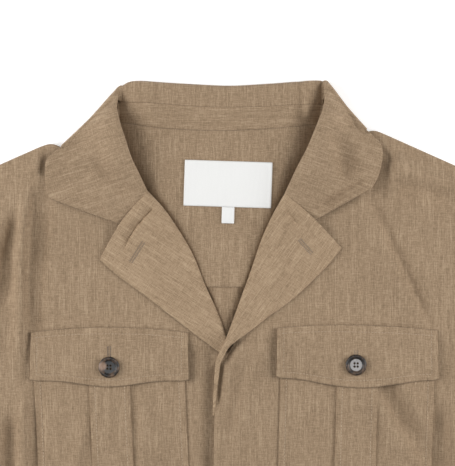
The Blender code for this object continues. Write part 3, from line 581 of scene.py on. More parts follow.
# Folds and creases in mm: path from its start to its end, half widths to its left and right, height
FRONT_CREASES = {
    "right": (
        (((-166, -40), (-170, -64), (-172, -90), (-173, -122), (-174, -158), (-175, -198)), 8, 8, -7.5),
        (((-150, -60), (-157, -95), (-159, -130), (-160, -174)), 13, 8, 1.6),
        (((-164, -48), (-167, -72), (-170, -96), (-173, -126)), 8, 8, -4.5),
        (((-176, -50), (-179, -74), (-183, -98), (-187, -128)), 7, 9, 4.8),
        (((-190, -54), (-199, -76), (-206, -96), (-210, -120), (-214, -162)), 8, 11, 6.4),
        (((-178, -46), (-181, -70), (-183.5, -100), (-184.5, -130), (-185, -165), (-188, -230)), 6, 7, 7.8),
        (((-184, -66), (-190, -88), (-195, -108), (-198, -128), (-202, -168)), 8, 8, -5.8),
        (((-171, -222), (-171, -255), (-170.5, -300), (-172, -350)), 6, 7, -5.0),
        (((-181, -230), (-182, -262), (-182, -300), (-185, -350)), 6.5, 7, 5.0),
        (((-193, -244), (-194, -275), (-195, -306), (-197, -350)), 6, 7, -5.5),
        (((-204, -246), (-206, -280), (-207, -310), (-212, -360)), 6, 11, 5.5),
        (((-120, -370), (-96, -580)), 22, 22, 1.6),
        (((-60, -390), (-42, -585)), 18, 18, -1.8),
        (((-158, -10), (-161, -27), (-163, -44)), 6, 6, -5.0),
        (((-168, -2), (-171, -22), (-172, -42)), 5, 10, 4.2),
        (((-186, -178.5), (-140, -175), (-105, -174), (-70, -175), (-24, -178.5)), 4, 2.4, 1.7),
        (((-128, -118), (-136, -168)), 12, 12, 0.9),
        (
            ((14, -140), (4, -176), (-3, -204), (-9, -226), (-13, -250), (-15, -290), (-15, -350)),
            16, 10, -2.2,
        ),
        (((-14, -256), (-15, -310), (-15, -420), (-14, -600)), 16, 11, -1.8),
        (((-30, -166), (-27, -205), (-26, -240), (-28, -290), (-32, -360)), 9, 6, 1.8),
        (((-28, -270), (-29, -330), (-34, -430)), 10, 14, 1.4),
    ),
    "left": (
        (((136, -12), (140, -38), (134, -66)), 9, 7, -8.0),
        (((151, -6), (156, -36), (150, -64)), 7, 9, 6.8),
        (((138, -34), (152, -20), (174, -5)), 6, 7, -4.2),
        (((138, -40), (161, -53), (184, -60), (218, -70)), 7, 8, -4.4),
        (((146, -28), (170, -38), (202, -48), (238, -61)), 9, 7, 3.2),
        (((138, -60), (164, -73), (188, -81), (224, -93)), 7, 15, 3.4),
        (
            ((118, -42), (141, -78), (150, -98), (159, -118), (167, -136), (178, -160), (190, -187)),
            4, 5, -2.8,
        ),
        (((108, -44), (137, -92), (151, -120), (163, -146), (187, -196)), 4.5, 14, 3.8),
        (((124, -196), (149, -240), (158, -256), (167, -270), (194, -312)), 9, 9, -6.5),
        (((37, -175.5), (70, -172.5), (118, -171.8), (164, -173.3), (200, -177)), 4, 2.4, 1.7),
        (((154, -84), (170, -118), (184, -150), (196, -172)), 8, 10, 1.0),
        (((191, -234), (192, -262), (193, -300), (196, -350)), 6, 6, -5.0),
        (((202, -232), (205, -262), (207, -300), (211, -350)), 9, 6.5, 7.0),
        (((232, -110), (236, -220), (242, -500)), 14, 14, 2.4),
        (((128, -365), (112, -580)), 22, 22, 1.6),
        (((70, -380), (58, -585)), 18, 18, -1.8),
        (((30, -184), (25, -214), (17, -246), (11, -290)), 9, 4.5, 2.4),
        (
            ((24, -180), (8, -193), (0.5, -200), (-3.8, -209), (-5.2, -221), (-6.2, -236), (-7.5, -258)),
            2.3, 2.3, -5.5,
        ),
        (((13, -182), (7.5, -192), (4, -201), (0, -214)), 1.8, 2.0, -3.2),
        (((22, -194), (16, -215), (9, -240), (4.5, -262), (1, -304)), 4, 5, -2.2),
        (((44, -206), (40, -250), (44, -300)), 12, 14, 0.8),
        (((20, -150), (8, -190), (0, -222), (-4, -250), (-6, -292), (-6, -350)), 11, 7, 1.5),
        (((-4, -262), (-6, -440), (-10, -600)), 11, 8, 0.9),
    ),
}


def fold_over(distance):
    """Height of an upper layer at a distance from the edge where it folds over."""
    middle = LINEN_WALL / 2 + FOLD_RADIUS
    turn = middle + np.sqrt(np.maximum(FOLD_RADIUS**2 - (FOLD_RADIUS - distance) ** 2, 0.0))
    rest = mix(middle + FOLD_RADIUS, UPPER_Z, smooth((distance - FOLD_RADIUS) / SWELL))
    return np.where(distance < FOLD_RADIUS, turn, rest)


def edge_distance(side, x, y):
    """Distance from the folded shoulder edge or side seam."""
    drop = np.maximum(shoulder_y(side, x) - y, 0.0) * math.cos(SHOULDER_FALL)
    at_side = side_half(y) - np.abs(x)
    at_underarm = np.hypot(UNDERARM_HALF - np.abs(x), UNDERARM_Y - y)
    return np.maximum(np.minimum(drop, np.where(y < UNDERARM_Y, at_side, at_underarm)), 0.0)


def front_z(side, x, y, hollows=True):
    """Height of a front's middle surface with its folds, or of cloth that bridges its hollows."""
    edge = edge_distance(side, x, y)
    z = fold_over(edge) + neck_lift(x, y)
    folds = crease_rise(x, y, FRONT_CREASES[side])
    deepest = mix(DEEPEST_FOLD, DEEPEST_ON_YOKE, smooth((y - YOKE_Y) / YOKE_RAMP + 1.0))
    sunk = deepest * np.tanh(np.minimum(folds, 0.0) / deepest) if hollows else 0.0
    z = z + (np.maximum(folds, 0.0) + sunk) * smooth(edge / FOLD_FADE)
    if side == "left":
        over = 1.0 - smooth((x - OVERLAP_START) / (OVERLAP_END - OVERLAP_START))
        z = z + over * (OVERLAP_RISE + BREAK_RISE * np.exp(-(((y - BREAK_Y) / BREAK_REACH) ** 2)))
    return z


front_rows = np.concatenate([
    [0.0, 0.012, 0.028, 0.05, 0.08, 0.12, 0.16],
    steps(0.2, (UNDERARM_PLACE, 159), (HEM_PLACE - 1, 30), (HEM_PLACE, 55)),
])
front_columns = np.concatenate([
    np.linspace(0.0, 0.95, 132),
    [0.96, 0.968, 0.975, 0.981, 0.986, 0.990, 0.993, 0.9955, 0.9975, 0.999, 1.0],
])
front_grids = {}
for side, sign in SIGN.items():
    inner_x, inner_y = along(FRONT_EDGE[side], front_rows).T[..., None]
    outer_half, outer_y = outer_points(front_rows).T[..., None]
    x = mix(inner_x, sign * outer_half, front_columns)
    y = mix(inner_y, outer_y, front_columns)
    y = y - shoulder_dip(side, x) * (1.0 - smooth(front_rows / DIP_ROWS))[:, None]
    front_grids[side] = grid_of(x, y, front_z(side, x, y))
    yarns, shift = grid_of(x, y), (sign * 0.6, 0.0)
    front = wall_of_cloth("front_" + side + "_cloth", front_grids[side], LINEN_WALL, yarns, linen, shift)
    place_cloth(front, "front_" + side)

# Fly facing
# A strip of linen under the wearer's left front edge, which hides the buttons of the concealed closing.
# A few millimetres of it show beside the break of the lapel.
LAY = 0.6 * MM
FLY_EDGE = (
    (0.0085, -0.188),
    (0.0075, -0.199),
    (0.0005, -0.2045),
    (-0.0070, -0.2085),
    (-0.0094, -0.2160),
    (-0.0099, -0.2300),
    (-0.0088, -0.275),
    (-0.0080, -0.340),
    (-0.0105, HEM_Y + 0.002),
)
FLY_INSIDE = 0.034
fly_places = steps(0.0, (6.0, 72), (8.0, 60))
edge_x, y = along(FLY_EDGE, fly_places).T[..., None]
x = mix(edge_x, FLY_INSIDE, np.linspace(0.0, 1.0, 19))
y = np.broadcast_to(y, x.shape)
z = front_z("right", x, y) + LINEN_WALL / 2 + LAY + TRIM_WALL / 2
fly = wall_of_cloth("fly_cloth", grid_of(x, y, z), TRIM_WALL, grid_of(x, y), linen, shift=(-0.15, 0.0))
place_cloth(fly, "fly_facing")

# Lapels
# The upper part of each front and its facing: two layers and a thin interlining, turned back over a roll.
# Each is sewn to the collar along the gorge and has a worked buttonhole near its point.
DOUBLE_WALL = 1.4 * MM
NOTCH_SHARE = 0.42
NOTCH = {"right": np.array((-0.0954, -0.0837)), "left": np.array((0.0801, -0.0801))}
LAPEL_SETTLE, LAPEL_CREASE_START = 0.020, 0.08
# Middle of a double wall above the middle of the front that it lies on
ON_FRONT = LINEN_WALL / 2 + LAY + DOUBLE_WALL / 2
# From the gorge to the break: roll x, y, edge x, y, sag towards the notch, radius and rise of the roll
LAPEL = {
    "right": (
        (-0.0711, -0.0540, -0.1134, -0.1152, 1.00, 0.0040, 0.0045),
        (-0.0560, -0.0705, -0.0985, -0.1290, 0.15, 0.0038, 0.0035),
        (-0.0420, -0.0910, -0.0792, -0.1431, 0.00, 0.0035, 0.0026),
        (-0.0295, -0.1130, -0.0600, -0.1577, 0.00, 0.0032, 0.0018),
        (-0.0189, -0.1395, -0.0400, -0.1732, 0.00, 0.0028, 0.0010),
        (-0.0095, -0.1605, -0.0215, -0.1874, 0.00, 0.0024, 0.0004),
        (-0.0010, -0.1820, -0.0058, -0.1987, 0.00, 0.0020, 0.0000),
        (0.0015, -0.1895, -0.0028, -0.2010, 0.00, 0.0018, 0.0000),
    ),
    "left": (
        (0.0531, -0.0567, 0.1035, -0.1053, 1.00, 0.0040, 0.0045),
        (0.0410, -0.0785, 0.0945, -0.1170, 0.15, 0.0036, 0.0028),
        (0.0320, -0.0990, 0.0780, -0.1341, 0.00, 0.0030, 0.0016),
        (0.0225, -0.1270, 0.0580, -0.1525, 0.00, 0.0025, 0.0008),
        (0.0145, -0.1490, 0.0395, -0.1655, 0.00, 0.0023, 0.0004),
        (0.0065, -0.1710, 0.0230, -0.1785, 0.00, 0.0021, 0.0002),
        (-0.0018, -0.1926, 0.0040, -0.1928, 0.00, 0.0019, 0.0000),
        (-0.0063, -0.2016, -0.0024, -0.2026, 0.00, 0.0014, 0.0000),
        (-0.0088, -0.2092, -0.0056, -0.2101, 0.00, 0.0011, 0.0000),
        (-0.0096, -0.2180, -0.0067, -0.2186, 0.00, 0.0010, 0.0000),
        (-0.0103, -0.2280, -0.0080, -0.2283, 0.00, 0.0008, 0.0000),
        (-0.0110, -0.2440, -0.0097, -0.2441, 0.00, 0.0005, -0.0004),
        (-0.0114, -0.2560, -0.0107, -0.2561, 0.00, 0.0003, -0.0008),
    ),
}
# Groove of the gorge seam, and creases beside it, where the seam allowance ends under the cloth
GORGE_SEAM = {
    "right": (((-58, -38), (-71, -54), (-95.4, -83.7), (-108, -99)), 1.3, 1.3, -0.9),
    "left": (((39, -44), (53, -56.7), (80, -80.1), (94, -92)), 1.3, 1.3, -0.9),
}
LAPEL_CREASES = {
    "right": (
        (((-44, -48), (-62, -67), (-72, -77), (-80, -86), (-87, -97), (-96, -116)), 0.9, 3.0, -2.6),
        (((-83, -84), (-90, -95)), 1.0, 1.6, -1.2),
        GORGE_SEAM["right"],
        (((-66, -60), (-78, -72), (-90, -86), (-100, -104)), 3.6, 3.6, 0.9),
        (((-46, -104), (-66, -122), (-84, -132)), 12, 9, 0.6),
    ),
    "left": (
        (((48, -64), (58, -77), (68, -89)), 3.0, 1.2, -1.6),
        GORGE_SEAM["left"],
        (((57, -63), (68, -76), (76, -84)), 3.5, 3.5, 0.7),
        (((38, -112), (56, -126), (72, -132)), 10, 12, 0.6),
    ),
}


def unit(run):
    return run / np.linalg.norm(run, axis=-1, keepdims=True)


def rolled(table, places):
    """Values from a table of turned-over cloth: roll line, outer edge, sag, radius and rise."""
    values = along(table, places)
    return values[:, 0:2], values[:, 2:4], *values[:, 4:].T


def turned_rows(side, roll, edge, sag, radius):
    """Where turned-over rows leave their roll, the knees that they bend at, and their first directions."""
    bend = np.maximum(sag, 0.0)[:, None]
    out = unit(mix(mix(roll, edge, NOTCH_SHARE), NOTCH[side], bend) - roll)
    start = roll + out * radius[:, None]
    return start, mix(mix(start, edge, NOTCH_SHARE), NOTCH[side], bend), out


def bent(start, knee, end, shares):
    """Points on rows that bend at a knee: rows by shares by 2."""
    share = np.asarray(shares)[None, :, None]
    first = mix(start[:, None], knee[:, None], share / NOTCH_SHARE)
    then = mix(knee[:, None], end[:, None], (share - NOTCH_SHARE) / (1.0 - NOTCH_SHARE))
    return np.where(share < NOTCH_SHARE, first, then)


# A paler copy of the same linen for the lapels: painted light, for lapels lit brighter than the fronts
lapel_lit_colours = ((0.182, 0.125, 0.076), (0.324, 0.228, 0.142), (0.462, 0.341, 0.224))
lapel_lit_linen = make_linen("lapel_linen_painted_light", *lapel_lit_colours)
lapel_grids = {}
for side in SIGN:
    places = steps(0.0, (2.2, 95), (len(LAPEL[side]) - 1, 99))
    roll, edge, sag, radius, rise = rolled(LAPEL[side], places)
    start, knee, out = turned_rows(side, roll, edge, sag, radius)
    base = front_z(side, *start.T, False)
    turn = np.pi * np.linspace(0.0, 1.0, 13)[:-1]
    in_roll = roll[:, None] + out[:, None] * (radius[:, None] * (1.0 - np.sin(turn)))[..., None]
    roll_z = base[:, None] + (radius + rise / 2)[:, None] * (1.0 - np.cos(turn))
    shares = np.linspace(0.0, 1.0, 84)
    leaf = bent(start, knee, edge, shares)
    x, y = leaf[..., 0], leaf[..., 1]
    spring = (2.0 * radius + rise - ON_FRONT)[:, None]
    settled = np.minimum(np.linalg.norm(edge - roll, axis=1) / LAPEL_SETTLE, 1.0)[:, None] * smooth(shares)
    leaf_z = front_z(side, x, y, False) + ON_FRONT + spring * (1.0 - settled)
    leaf_z = leaf_z + crease_rise(x, y, LAPEL_CREASES[side]) * smooth(shares / LAPEL_CREASE_START)
    plan = np.concatenate([in_roll, leaf], axis=1)
    height = np.concatenate([roll_z, leaf_z], axis=1)[..., None]
    grid = np.concatenate([plan, height], axis=2)
    lapel_grids[side] = grid
    roll_line = unit(roll[-1] - roll[0])
    from_roll = plan - roll[0]
    mirrored = 2.0 * (from_roll @ roll_line)[..., None] * roll_line - from_roll
    shift = (0.9, 0.9)
    lapel = wall_of_cloth("lapel_" + side + "_cloth", grid, DOUBLE_WALL, mirrored, lapel_lit_linen, shift)
    place_cloth(lapel, "lapel_" + side)

# Collar
# One folded linen collar, two layers with an interlining: an inner side, a soft roll and a pointed leaf.
# It runs from gorge to gorge round the neck; its back lies under the body, and its leaves lie on the fronts.
# From the shoulder to the gorge: roll x, y, edge x, y, sag towards the notch, radius and rise of the roll
COLLAR = {
    "right": (
        (-0.0985, 0.0210, -0.1560, -0.0205, 0.00, 0.0032, 0.0085),
        (-0.0954, 0.0072, -0.1612, -0.0262, 0.02, 0.0038, 0.0125),
        (-0.0909, -0.0063, -0.1622, -0.0380, 0.06, 0.0040, 0.0125),
        (-0.0855, -0.0234, -0.1616, -0.0480, 0.16, 0.0040, 0.0105),
        (-0.0783, -0.0387, -0.1605, -0.0555, 0.45, 0.0040, 0.0075),
        (-0.0711, -0.0540, -0.1570, -0.0612, 1.00, 0.0040, 0.0045),
    ),
    "left": (
        (0.0890, 0.0270, 0.1318, -0.0042, 0.00, 0.0032, 0.0085),
        (0.0862, 0.0160, 0.1376, -0.0096, 0.02, 0.0038, 0.0125),
        (0.0819, 0.0054, 0.1404, -0.0180, 0.06, 0.0040, 0.0125),
        (0.0735, -0.0150, 0.1393, -0.0305, 0.16, 0.0040, 0.0105),
        (0.0635, -0.0345, 0.1360, -0.0420, 0.45, 0.0040, 0.0075),
        (0.0531, -0.0567, 0.1312, -0.0508, 1.00, 0.0040, 0.0045),
    ),
}
# Fold over each shoulder: corner x, y, end x, y, radius and height of the roll
COLLAR_FOLD = {
    "right": (-0.0975, 0.0310, -0.1477, -0.0147, 0.0022, 0.0112),
    "left": (0.0890, 0.0412, 0.1255, 0.0006, 0.0022, 0.0112),
}
LEAF_EDGE_LIFT, LEAF_SETTLE, LEAF_CREASE_START = 0.0012, 0.60, 0.15
GORGE_GAP = 0.03
FOLD_BULGE = 0.75
BACK_ROLL = 0.0016
UNDER_DROP = 0.014
COLLAR_RETURN, RETURN_SLANT, RETURN_DROP = 0.0014, 0.25, 0.85
# How far the loose cloth of the neck pulls the band's top down and lifts it, as shares of its height
BAND_PULL, BAND_LIFT = 0.25, 0.6
LEAF_GRAIN = math.radians(72.0)
leaf_shares = np.linspace(0.0, 1.0, 60)
inner_shares = np.linspace(0.0, 1.0, 12)[:-1, None]
roll_shares = np.linspace(0.0, 1.0, 11)[:-1, None]
# Creases in the leaves: the turned edge above the notch, and soft hollows below the roll
LEAF_CREASES = {
    "right": (
        (((-98, -12), (-118, -26), (-140, -36)), 12, 10, -0.8),
        (((-112, 6), (-128, -10), (-148, -24)), 8, 10, 0.8),
        (((-158, -56), (-130, -67), (-98, -79)), 3, 4, 1.8),
        (((-124, -20), (-108, -36), (-96, -48), (-80, -64)), 7, 6, -4.2),
        (((-110, -14), (-96, -32), (-84, -48)), 6, 6, 1.8),
        (((-126, -40), (-110, -56), (-98, -68)), 7, 7, 1.2),
        GORGE_SEAM["right"],
    ),
    "left": (
        (((80, -80), (104, -64), (122, -55), (140, -46)), 3.0, 2.2, 3.2),
        (((76, -74), (98, -58.5), (118, -47.5), (132, -40)), 2.6, 1.8, -2.6),
        (((94, 8), (102, -20), (108, -48)), 8, 6, -4.0),
        (((108, 4), (120, -16), (124, -36)), 8, 6, 3.6),
        (((66, -40), (88, -36), (100, -34)), 9, 8, 0.6),
        GORGE_SEAM["left"],
    ),
}


def leaf_rows(side, start, knee, edge, roll_z):
    """Points of the leaf where it lies on a front, from its roll to its outer edge."""
    plan = bent(start, knee, edge, leaf_shares)
    x, y = plan[..., 0], plan[..., 1]
    spring = (roll_z - front_z(side, *start.T, False) - ON_FRONT)[:, None]
    z = front_z(side, x, y, False) + ON_FRONT + LEAF_EDGE_LIFT * leaf_shares
    z = z + spring * (1.0 - smooth(leaf_shares / LEAF_SETTLE))
    z = z + crease_rise(x, y, LEAF_CREASES[side]) * smooth(leaf_shares / LEAF_CREASE_START)
    return grid_of(x, y, z)


def collar_sections(inner_end, inner_top, bulge, leaf):
    """Sections of the collar: inner side, roll and leaf."""
    first = leaf[:, :1]
    end, top = inner_end[:, None], inner_top[:, None]
    reach = bulge[:, None] * np.linalg.norm(first - top, axis=2, keepdims=True) * 2.0 / 3.0
    share, rest = roll_shares, 1.0 - roll_shares
    roll = top * rest**3 + (top + reach) * (3.0 * share * rest**2) + (first + reach) * (3.0 * share**2 * rest)
    return np.concatenate([mix(end, top, inner_shares), roll + first * share**3, leaf], axis=1)


def collar_side(side, under):
    """Sections on one front from the gorge to the shoulder, then round the fold to the back's first one."""
    table = COLLAR[side]
    roll, edge, sag, radius, rise = rolled(table, np.linspace(len(table) - 1 - GORGE_GAP, 0.0, 78))
    start, knee, out = turned_rows(side, roll, edge, sag, radius)
    leaf = leaf_rows(side, start, knee, edge, front_z(side, *start.T) + 2.0 * radius + rise)
    inner_top = leaf[:, 0] - grid_of(0.0, 0.0, 2.0 * radius)
    inward = grid_of(-out[:, 0], -out[:, 1], 0.0)
    inner_end = inner_top - inward * (rise * RETURN_SLANT)[:, None]
    inner_end[:, 2] -= COLLAR_RETURN + rise * RETURN_DROP
    on_front = collar_sections(inner_end, inner_top, inward, leaf)
    corner, end = np.array(COLLAR_FOLD[side][:4]).reshape(2, 1, 2)
    fold_radius, fold_z = COLLAR_FOLD[side][4:]
    start, knee, out = turned_rows(side, corner, end, np.zeros(1), np.array([fold_radius]))
    over = leaf_rows(side, start, knee, end, np.array([fold_z]))[0]
    low = under[-len(over):]
    outward = np.array((out[0, 1], -out[0, 0], 0.0)) * -SIGN[side]
    inner_high = over[0] - np.array((0.0, 0.0, 2.0 * fold_radius))
    angle = np.pi * np.linspace(0.0, 1.0, 17)[:-1, None, None]
    down = (1.0 - np.cos(angle)) / 2.0
    reach = FOLD_BULGE * (over[:, 2:] - low[:, 2:]) / 2.0 * np.sin(angle)
    folded = mix(over, low, down) + outward * reach
    down = down[:, 0]
    inward = unit(mix(np.array((-out[0, 0], -out[0, 1], 0.0)), np.array((0.0, 1.0, 0.0)), down))
    inner_end = mix(inner_high - (0.0, 0.0, COLLAR_RETURN), under[0], down)
    inner_top = mix(inner_high, under[len(inner_shares)], down)
    round_fold = collar_sections(inner_end, inner_top, inward, folded)
    join = mix(on_front[-1], round_fold[0], np.linspace(0.0, 1.0, 7)[1:-1, None, None])
    return np.concatenate([on_front, join, round_fold])


def laid_yarns(sections, turn):
    """Yarn directions of sections, turned in plan from straight up."""
    x, y, cos, sin = sections[..., 0], sections[..., 1], math.cos(turn), math.sin(turn)
    return grid_of(x * cos + y * sin, y * cos - x * sin)


neck_places = np.linspace(1.0, len(NECK_ROWS) - 2.0, 97)
neck_x, neck_top, neck_seam, _ = along(NECK_ROWS, neck_places).T
fold_ends = {side: np.array(COLLAR_FOLD[side][2:4]) for side in SIGN}
neck_share = (neck_x - COLLAR_FOLD["right"][0]) / (COLLAR_FOLD["left"][0] - COLLAR_FOLD["right"][0])
under_edge = mix(fold_ends["right"], fold_ends["left"], neck_share[:, None])
under_edge[:, 1] -= UNDER_DROP * 4.0 * neck_share * (1.0 - neck_share)
level = np.full_like(neck_x, DOUBLE_WALL / 2)
fullness = neck_fullness(neck_x, neck_seam)
start = grid_of(neck_x, neck_top - BACK_ROLL - DOUBLE_WALL / 2 - BAND_PULL * fullness, level)
leaf = mix(start[:, None], np.column_stack([under_edge, level])[:, None], leaf_shares[:, None])
inner_top = start + (0.0, 0.0, 2.0 * BACK_ROLL)
inner_top[:, 2] += BAND_LIFT * fullness
inner_end = grid_of(neck_x, neck_seam + SEAM_GAP / 4, LINEN_WALL + NECK_LIFT + fullness)
upward = np.tile((0.0, 1.0, 0.0), (len(neck_x), 1))
back_sections = collar_sections(inner_end, inner_top, upward, leaf)
right_sections = collar_side("right", back_sections[0])
left_sections = collar_side("left", back_sections[-1])[::-1]
stretches = ((right_sections, -LEAF_GRAIN), (back_sections, 0.0), (left_sections, LEAF_GRAIN))
grid = np.concatenate([sections for sections, _ in stretches])[::-1]
yarns = np.concatenate([laid_yarns(sections, turn) for sections, turn in stretches])[::-1]
collar = wall_of_cloth("collar_cloth", grid, DOUBLE_WALL, yarns, linen, shift=(0.0, 0.4))
place_cloth(collar, "collar")

# Sleeves
# One-seam linen tubes, sewn to the dropped armholes and folded flat along their top and under edges.
# The cuffs are plain hems, and the upper layer has soft folds across it at the elbow.
SLEEVE_LENGTH, SLEEVE_FALL, CUFF_WIDTH = 0.575, math.radians(42.0), 0.135
ARMHOLE_GAP = 0.3 * MM
# Share of the length at the top edge and at the under edge, half width as a share, height
SLEEVE_FOLDS = (
    (0.12, 0.20, 0.030, 1.4),
    (0.27, 0.33, 0.026, -1.1),
    (0.36, 0.44, 0.022, 1.2),
    (0.52, 0.46, 0.026, 1.8),
    (0.60, 0.53, 0.022, -1.2),
    (0.66, 0.68, 0.028, 0.9),
    (0.80, 0.76, 0.036, 1.1),
    (0.90, 0.93, 0.020, -0.6),
)
# Share of the points round a sleeve that gather at its folded edges
GATHERED = 0.6
even = np.linspace(0.0, 1.0, 56)
half_ring = UNDERARM_PLACE * mix(even, (1.0 - np.cos(np.pi * even)) / 2.0, GATHERED)
ring_places = np.concatenate([half_ring, half_ring[-2:0:-1]])
upper_layer = np.arange(len(ring_places)) < len(half_ring)
shoulder, underarm = np.array(ARMHOLE[0]), np.array(ARMHOLE[-1])
run = np.array((math.cos(SLEEVE_FALL), -math.sin(SLEEVE_FALL)))
cross = np.array((-math.sin(SLEEVE_FALL), -math.cos(SLEEVE_FALL)))
cuff_top = shoulder + run * SLEEVE_LENGTH
cuff_under = cuff_top + cross * CUFF_WIDTH
sleeve_share = np.linspace(0.0, 1.0, 96)[:, None]
armhole = outer_points(ring_places)
down = np.linalg.norm(armhole - shoulder, axis=1) / np.linalg.norm(underarm - shoulder)
bow = armhole - mix(shoulder, underarm, down[:, None])
top = mix(shoulder, cuff_top, sleeve_share)[:, None]
under = mix(underarm, cuff_under, sleeve_share)[:, None]
plan = mix(top, under, down[:, None]) + bow * ((1.0 - sleeve_share) ** 2)[..., None]
edge = np.minimum(np.linalg.norm(plan - top, axis=2), np.linalg.norm(plan - under, axis=2))
edge[:, ring_places == 0.0] = 0.0
upper = fold_over(edge)
lower = np.maximum(2.0 * (LINEN_WALL / 2 + FOLD_RADIUS) - upper, LINEN_WALL / 2)
for at_top, at_under, reach, height in SLEEVE_FOLDS:
    apart = (sleeve_share - mix(at_top, at_under, down)) / reach
    upper = upper + height * MM * smooth(edge / FOLD_FADE) * np.exp(-(apart**2))
sleeve_z = np.where(upper_layer, upper, lower)
ring_length = np.where(upper_layer, down, 2.0 - down) * np.linalg.norm(underarm - shoulder)
sleeve_threads = grid_of(ring_length, sleeve_share * SLEEVE_LENGTH)
sleeve_grids = {}
for side, sign in SIGN.items():
    grid = grid_of(sign * (plan[..., 0] + ARMHOLE_GAP), plan[..., 1], sleeve_z)
    sleeve_grids[side] = grid[:, : len(half_ring)]
    grid, yarns = (grid, sleeve_threads) if sign < 0.0 else (grid[:, ::-1], sleeve_threads[:, ::-1])
    shift = (sign * 1.7, sign * 1.7)
    sleeve = wall_of_cloth("sleeve_" + side + "_cloth", grid, LINEN_WALL, yarns, linen, shift, tube=True)
    place_cloth(sleeve, "sleeve_" + side)

# Pockets
# Patch pockets of linen with a box pleat down the middle, topstitched to the fronts along three sides.
# Each hangs a little open at the pleat, and its mouth lies under the flap.
POCKET_DROP, POCKET_HEIGHT = 0.0165, 0.154
PLEAT_HALF, PLEAT_TUCK, PLEAT_FOLD, PLEAT_MARGIN = 0.0185, 0.009, 0.00055, 0.003
POCKET_FADE, POCKET_SINK, POCKET_STEP = 0.012, -0.4 * MM, 0.8 * MM
# Middle, half width, top, bow, drop at the sides and in the middle, and lean of a flap, then the half width
# and lean of the pocket, and how far down the button is
POCKET_SIZES = "x half top bow side_drop drop lean pocket_half pocket_lean button_drop".split()
POCKET = {
    "right": (-0.1050, 0.0700, -0.1818, 0.0045, 0.0425, 0.0495, 0.0000, 0.0675, 0.045, 0.0305),
    "left": (0.1182, 0.0715, -0.1788, 0.0035, 0.0440, 0.0515, -0.0012, 0.0690, -0.026, 0.0315),
}
POCKET = {side: dict(zip(POCKET_SIZES, sizes)) for side, sizes in POCKET.items()}
# Soft folds in the pockets themselves, in mm, and two that cross the wearer's left flap too
DIAGONAL_RIDGES = (
    (((140, -202), (160, -234), (169, -250), (178, -264), (201, -302)), 12, 6.5, 4.6),
    (((122, -216), (139, -246), (148, -262), (157, -276), (178, -309)), 6.5, 12, 4.2),
)
POCKET_CREASES = {
    "right": (
        (((-78, -222), (-75, -258), (-76, -336)), 7, 3, 2.7),
        (((-74, -248), (-60, -276), (-52, -306)), 5, 7, 3.4),
        (((-124, -254), (-131, -284), (-139, -322)), 5, 6, 3.0),
        (((-152, -236), (-146, -280), (-150, -325)), 10, 8, 1.0),
        (((-100, -290), (-104, -320)), 10, 10, 0.6),
    ),
    "left": (
        *DIAGONAL_RIDGES,
        (((66, -230), (72, -270), (66, -320)), 12, 12, 0.8),
        (((112, -252), (116, -290), (110, -330)), 8, 7, 0.8),
    ),
}


def pocket_section(half):
    """Half of a pocket's section across, from its side edge to the middle: x, level."""
    fold, inner = PLEAT_FOLD, -PLEAT_HALF + PLEAT_TUCK
    outside = ((-half, 0.0), (-PLEAT_HALF - PLEAT_MARGIN, 0.0))
    tuck = ((inner - fold, 0.0), (inner, fold), (inner - fold, 2.0 * fold))
    turn = ((-PLEAT_HALF + fold, 2.0 * fold), (-PLEAT_HALF, 3.0 * fold), (-PLEAT_HALF + fold, 4.0 * fold))
    return outside + tuck + turn + ((0.0, 4.0 * fold),)


def walk(knots, step):
    """Points at short even steps along a bent line."""
    knots = np.array(knots, float)
    run = np.concatenate([[0.0], np.cumsum(np.hypot(*np.diff(knots, axis=0).T))])
    places = np.linspace(0.0, run[-1], max(int(run[-1] / step), 1) + 1)
    return grid_of(np.interp(places, run, knots[:, 0]), np.interp(places, run, knots[:, 1]))


def spaced(grid):
    """Distance along each row of points from its start."""
    strides = np.linalg.norm(np.diff(grid, axis=1), axis=2)
    return np.concatenate([np.zeros((len(grid), 1)), np.cumsum(strides, axis=1)], axis=1)


pocket_grids = {}
for side in SIGN:
    pocket = POCKET[side]
    half_section = pocket_section(pocket["pocket_half"])
    mirrored = tuple((-across, level) for across, level in half_section[-2::-1])
    section = walk(half_section + mirrored, POCKET_STEP)
    # Two passes round off the corners of the folds
    for _ in range(2):
        section[1:-1] = (section[:-2] + 2.0 * section[1:-1] + section[2:]) / 4.0
    y = (pocket["top"] - POCKET_DROP - POCKET_HEIGHT * np.linspace(0.0, 1.0, 78))[:, None]
    middle = pocket["x"] + pocket["pocket_lean"] * (pocket["top"] - pocket["side_drop"] - y)
    x = middle + section[:, 0]
    y = np.broadcast_to(y, x.shape)
    inside = smooth((pocket["pocket_half"] - np.abs(section[:, 0])) / POCKET_FADE)
    z = front_z(side, x, y) + LINEN_WALL / 2 + LAY + TRIM_WALL / 2 + section[:, 1]
    z = z + np.maximum(crease_rise(x, y, POCKET_CREASES[side]), POCKET_SINK) * inside
    grid = grid_of(x, y, z)
    pocket_grids[side] = grid
    yarns = grid_of(spaced(grid), y)
    shift = (SIGN[side] * 0.31, 0.0)
    cloth = wall_of_cloth("pocket_" + side + "_cloth", grid, TRIM_WALL, yarns, linen, shift)
    place_cloth(cloth, "pocket_" + side)

# Flaps
# Pocket flaps of two layers of linen, sewn down along the top and topstitched all round.
# The lower edge drops to a blunt point, and a buttonhole above it takes the button.
FLAP_WALL = 1.6 * MM
FLAP_RAMP, FLAP_BUMP, FLAP_FLARE, FLAP_STRAIGHT, FLAP_CORNER = 0.013, 0.024, 0.012, 0.9, 0.0013
# How far in from the edges the topstitching sinks, how deep and how wide
SEAM_INSET, SEAM_SINK, SEAM_REACH = 5.1 * MM, 0.42 * MM, 1.1 * MM
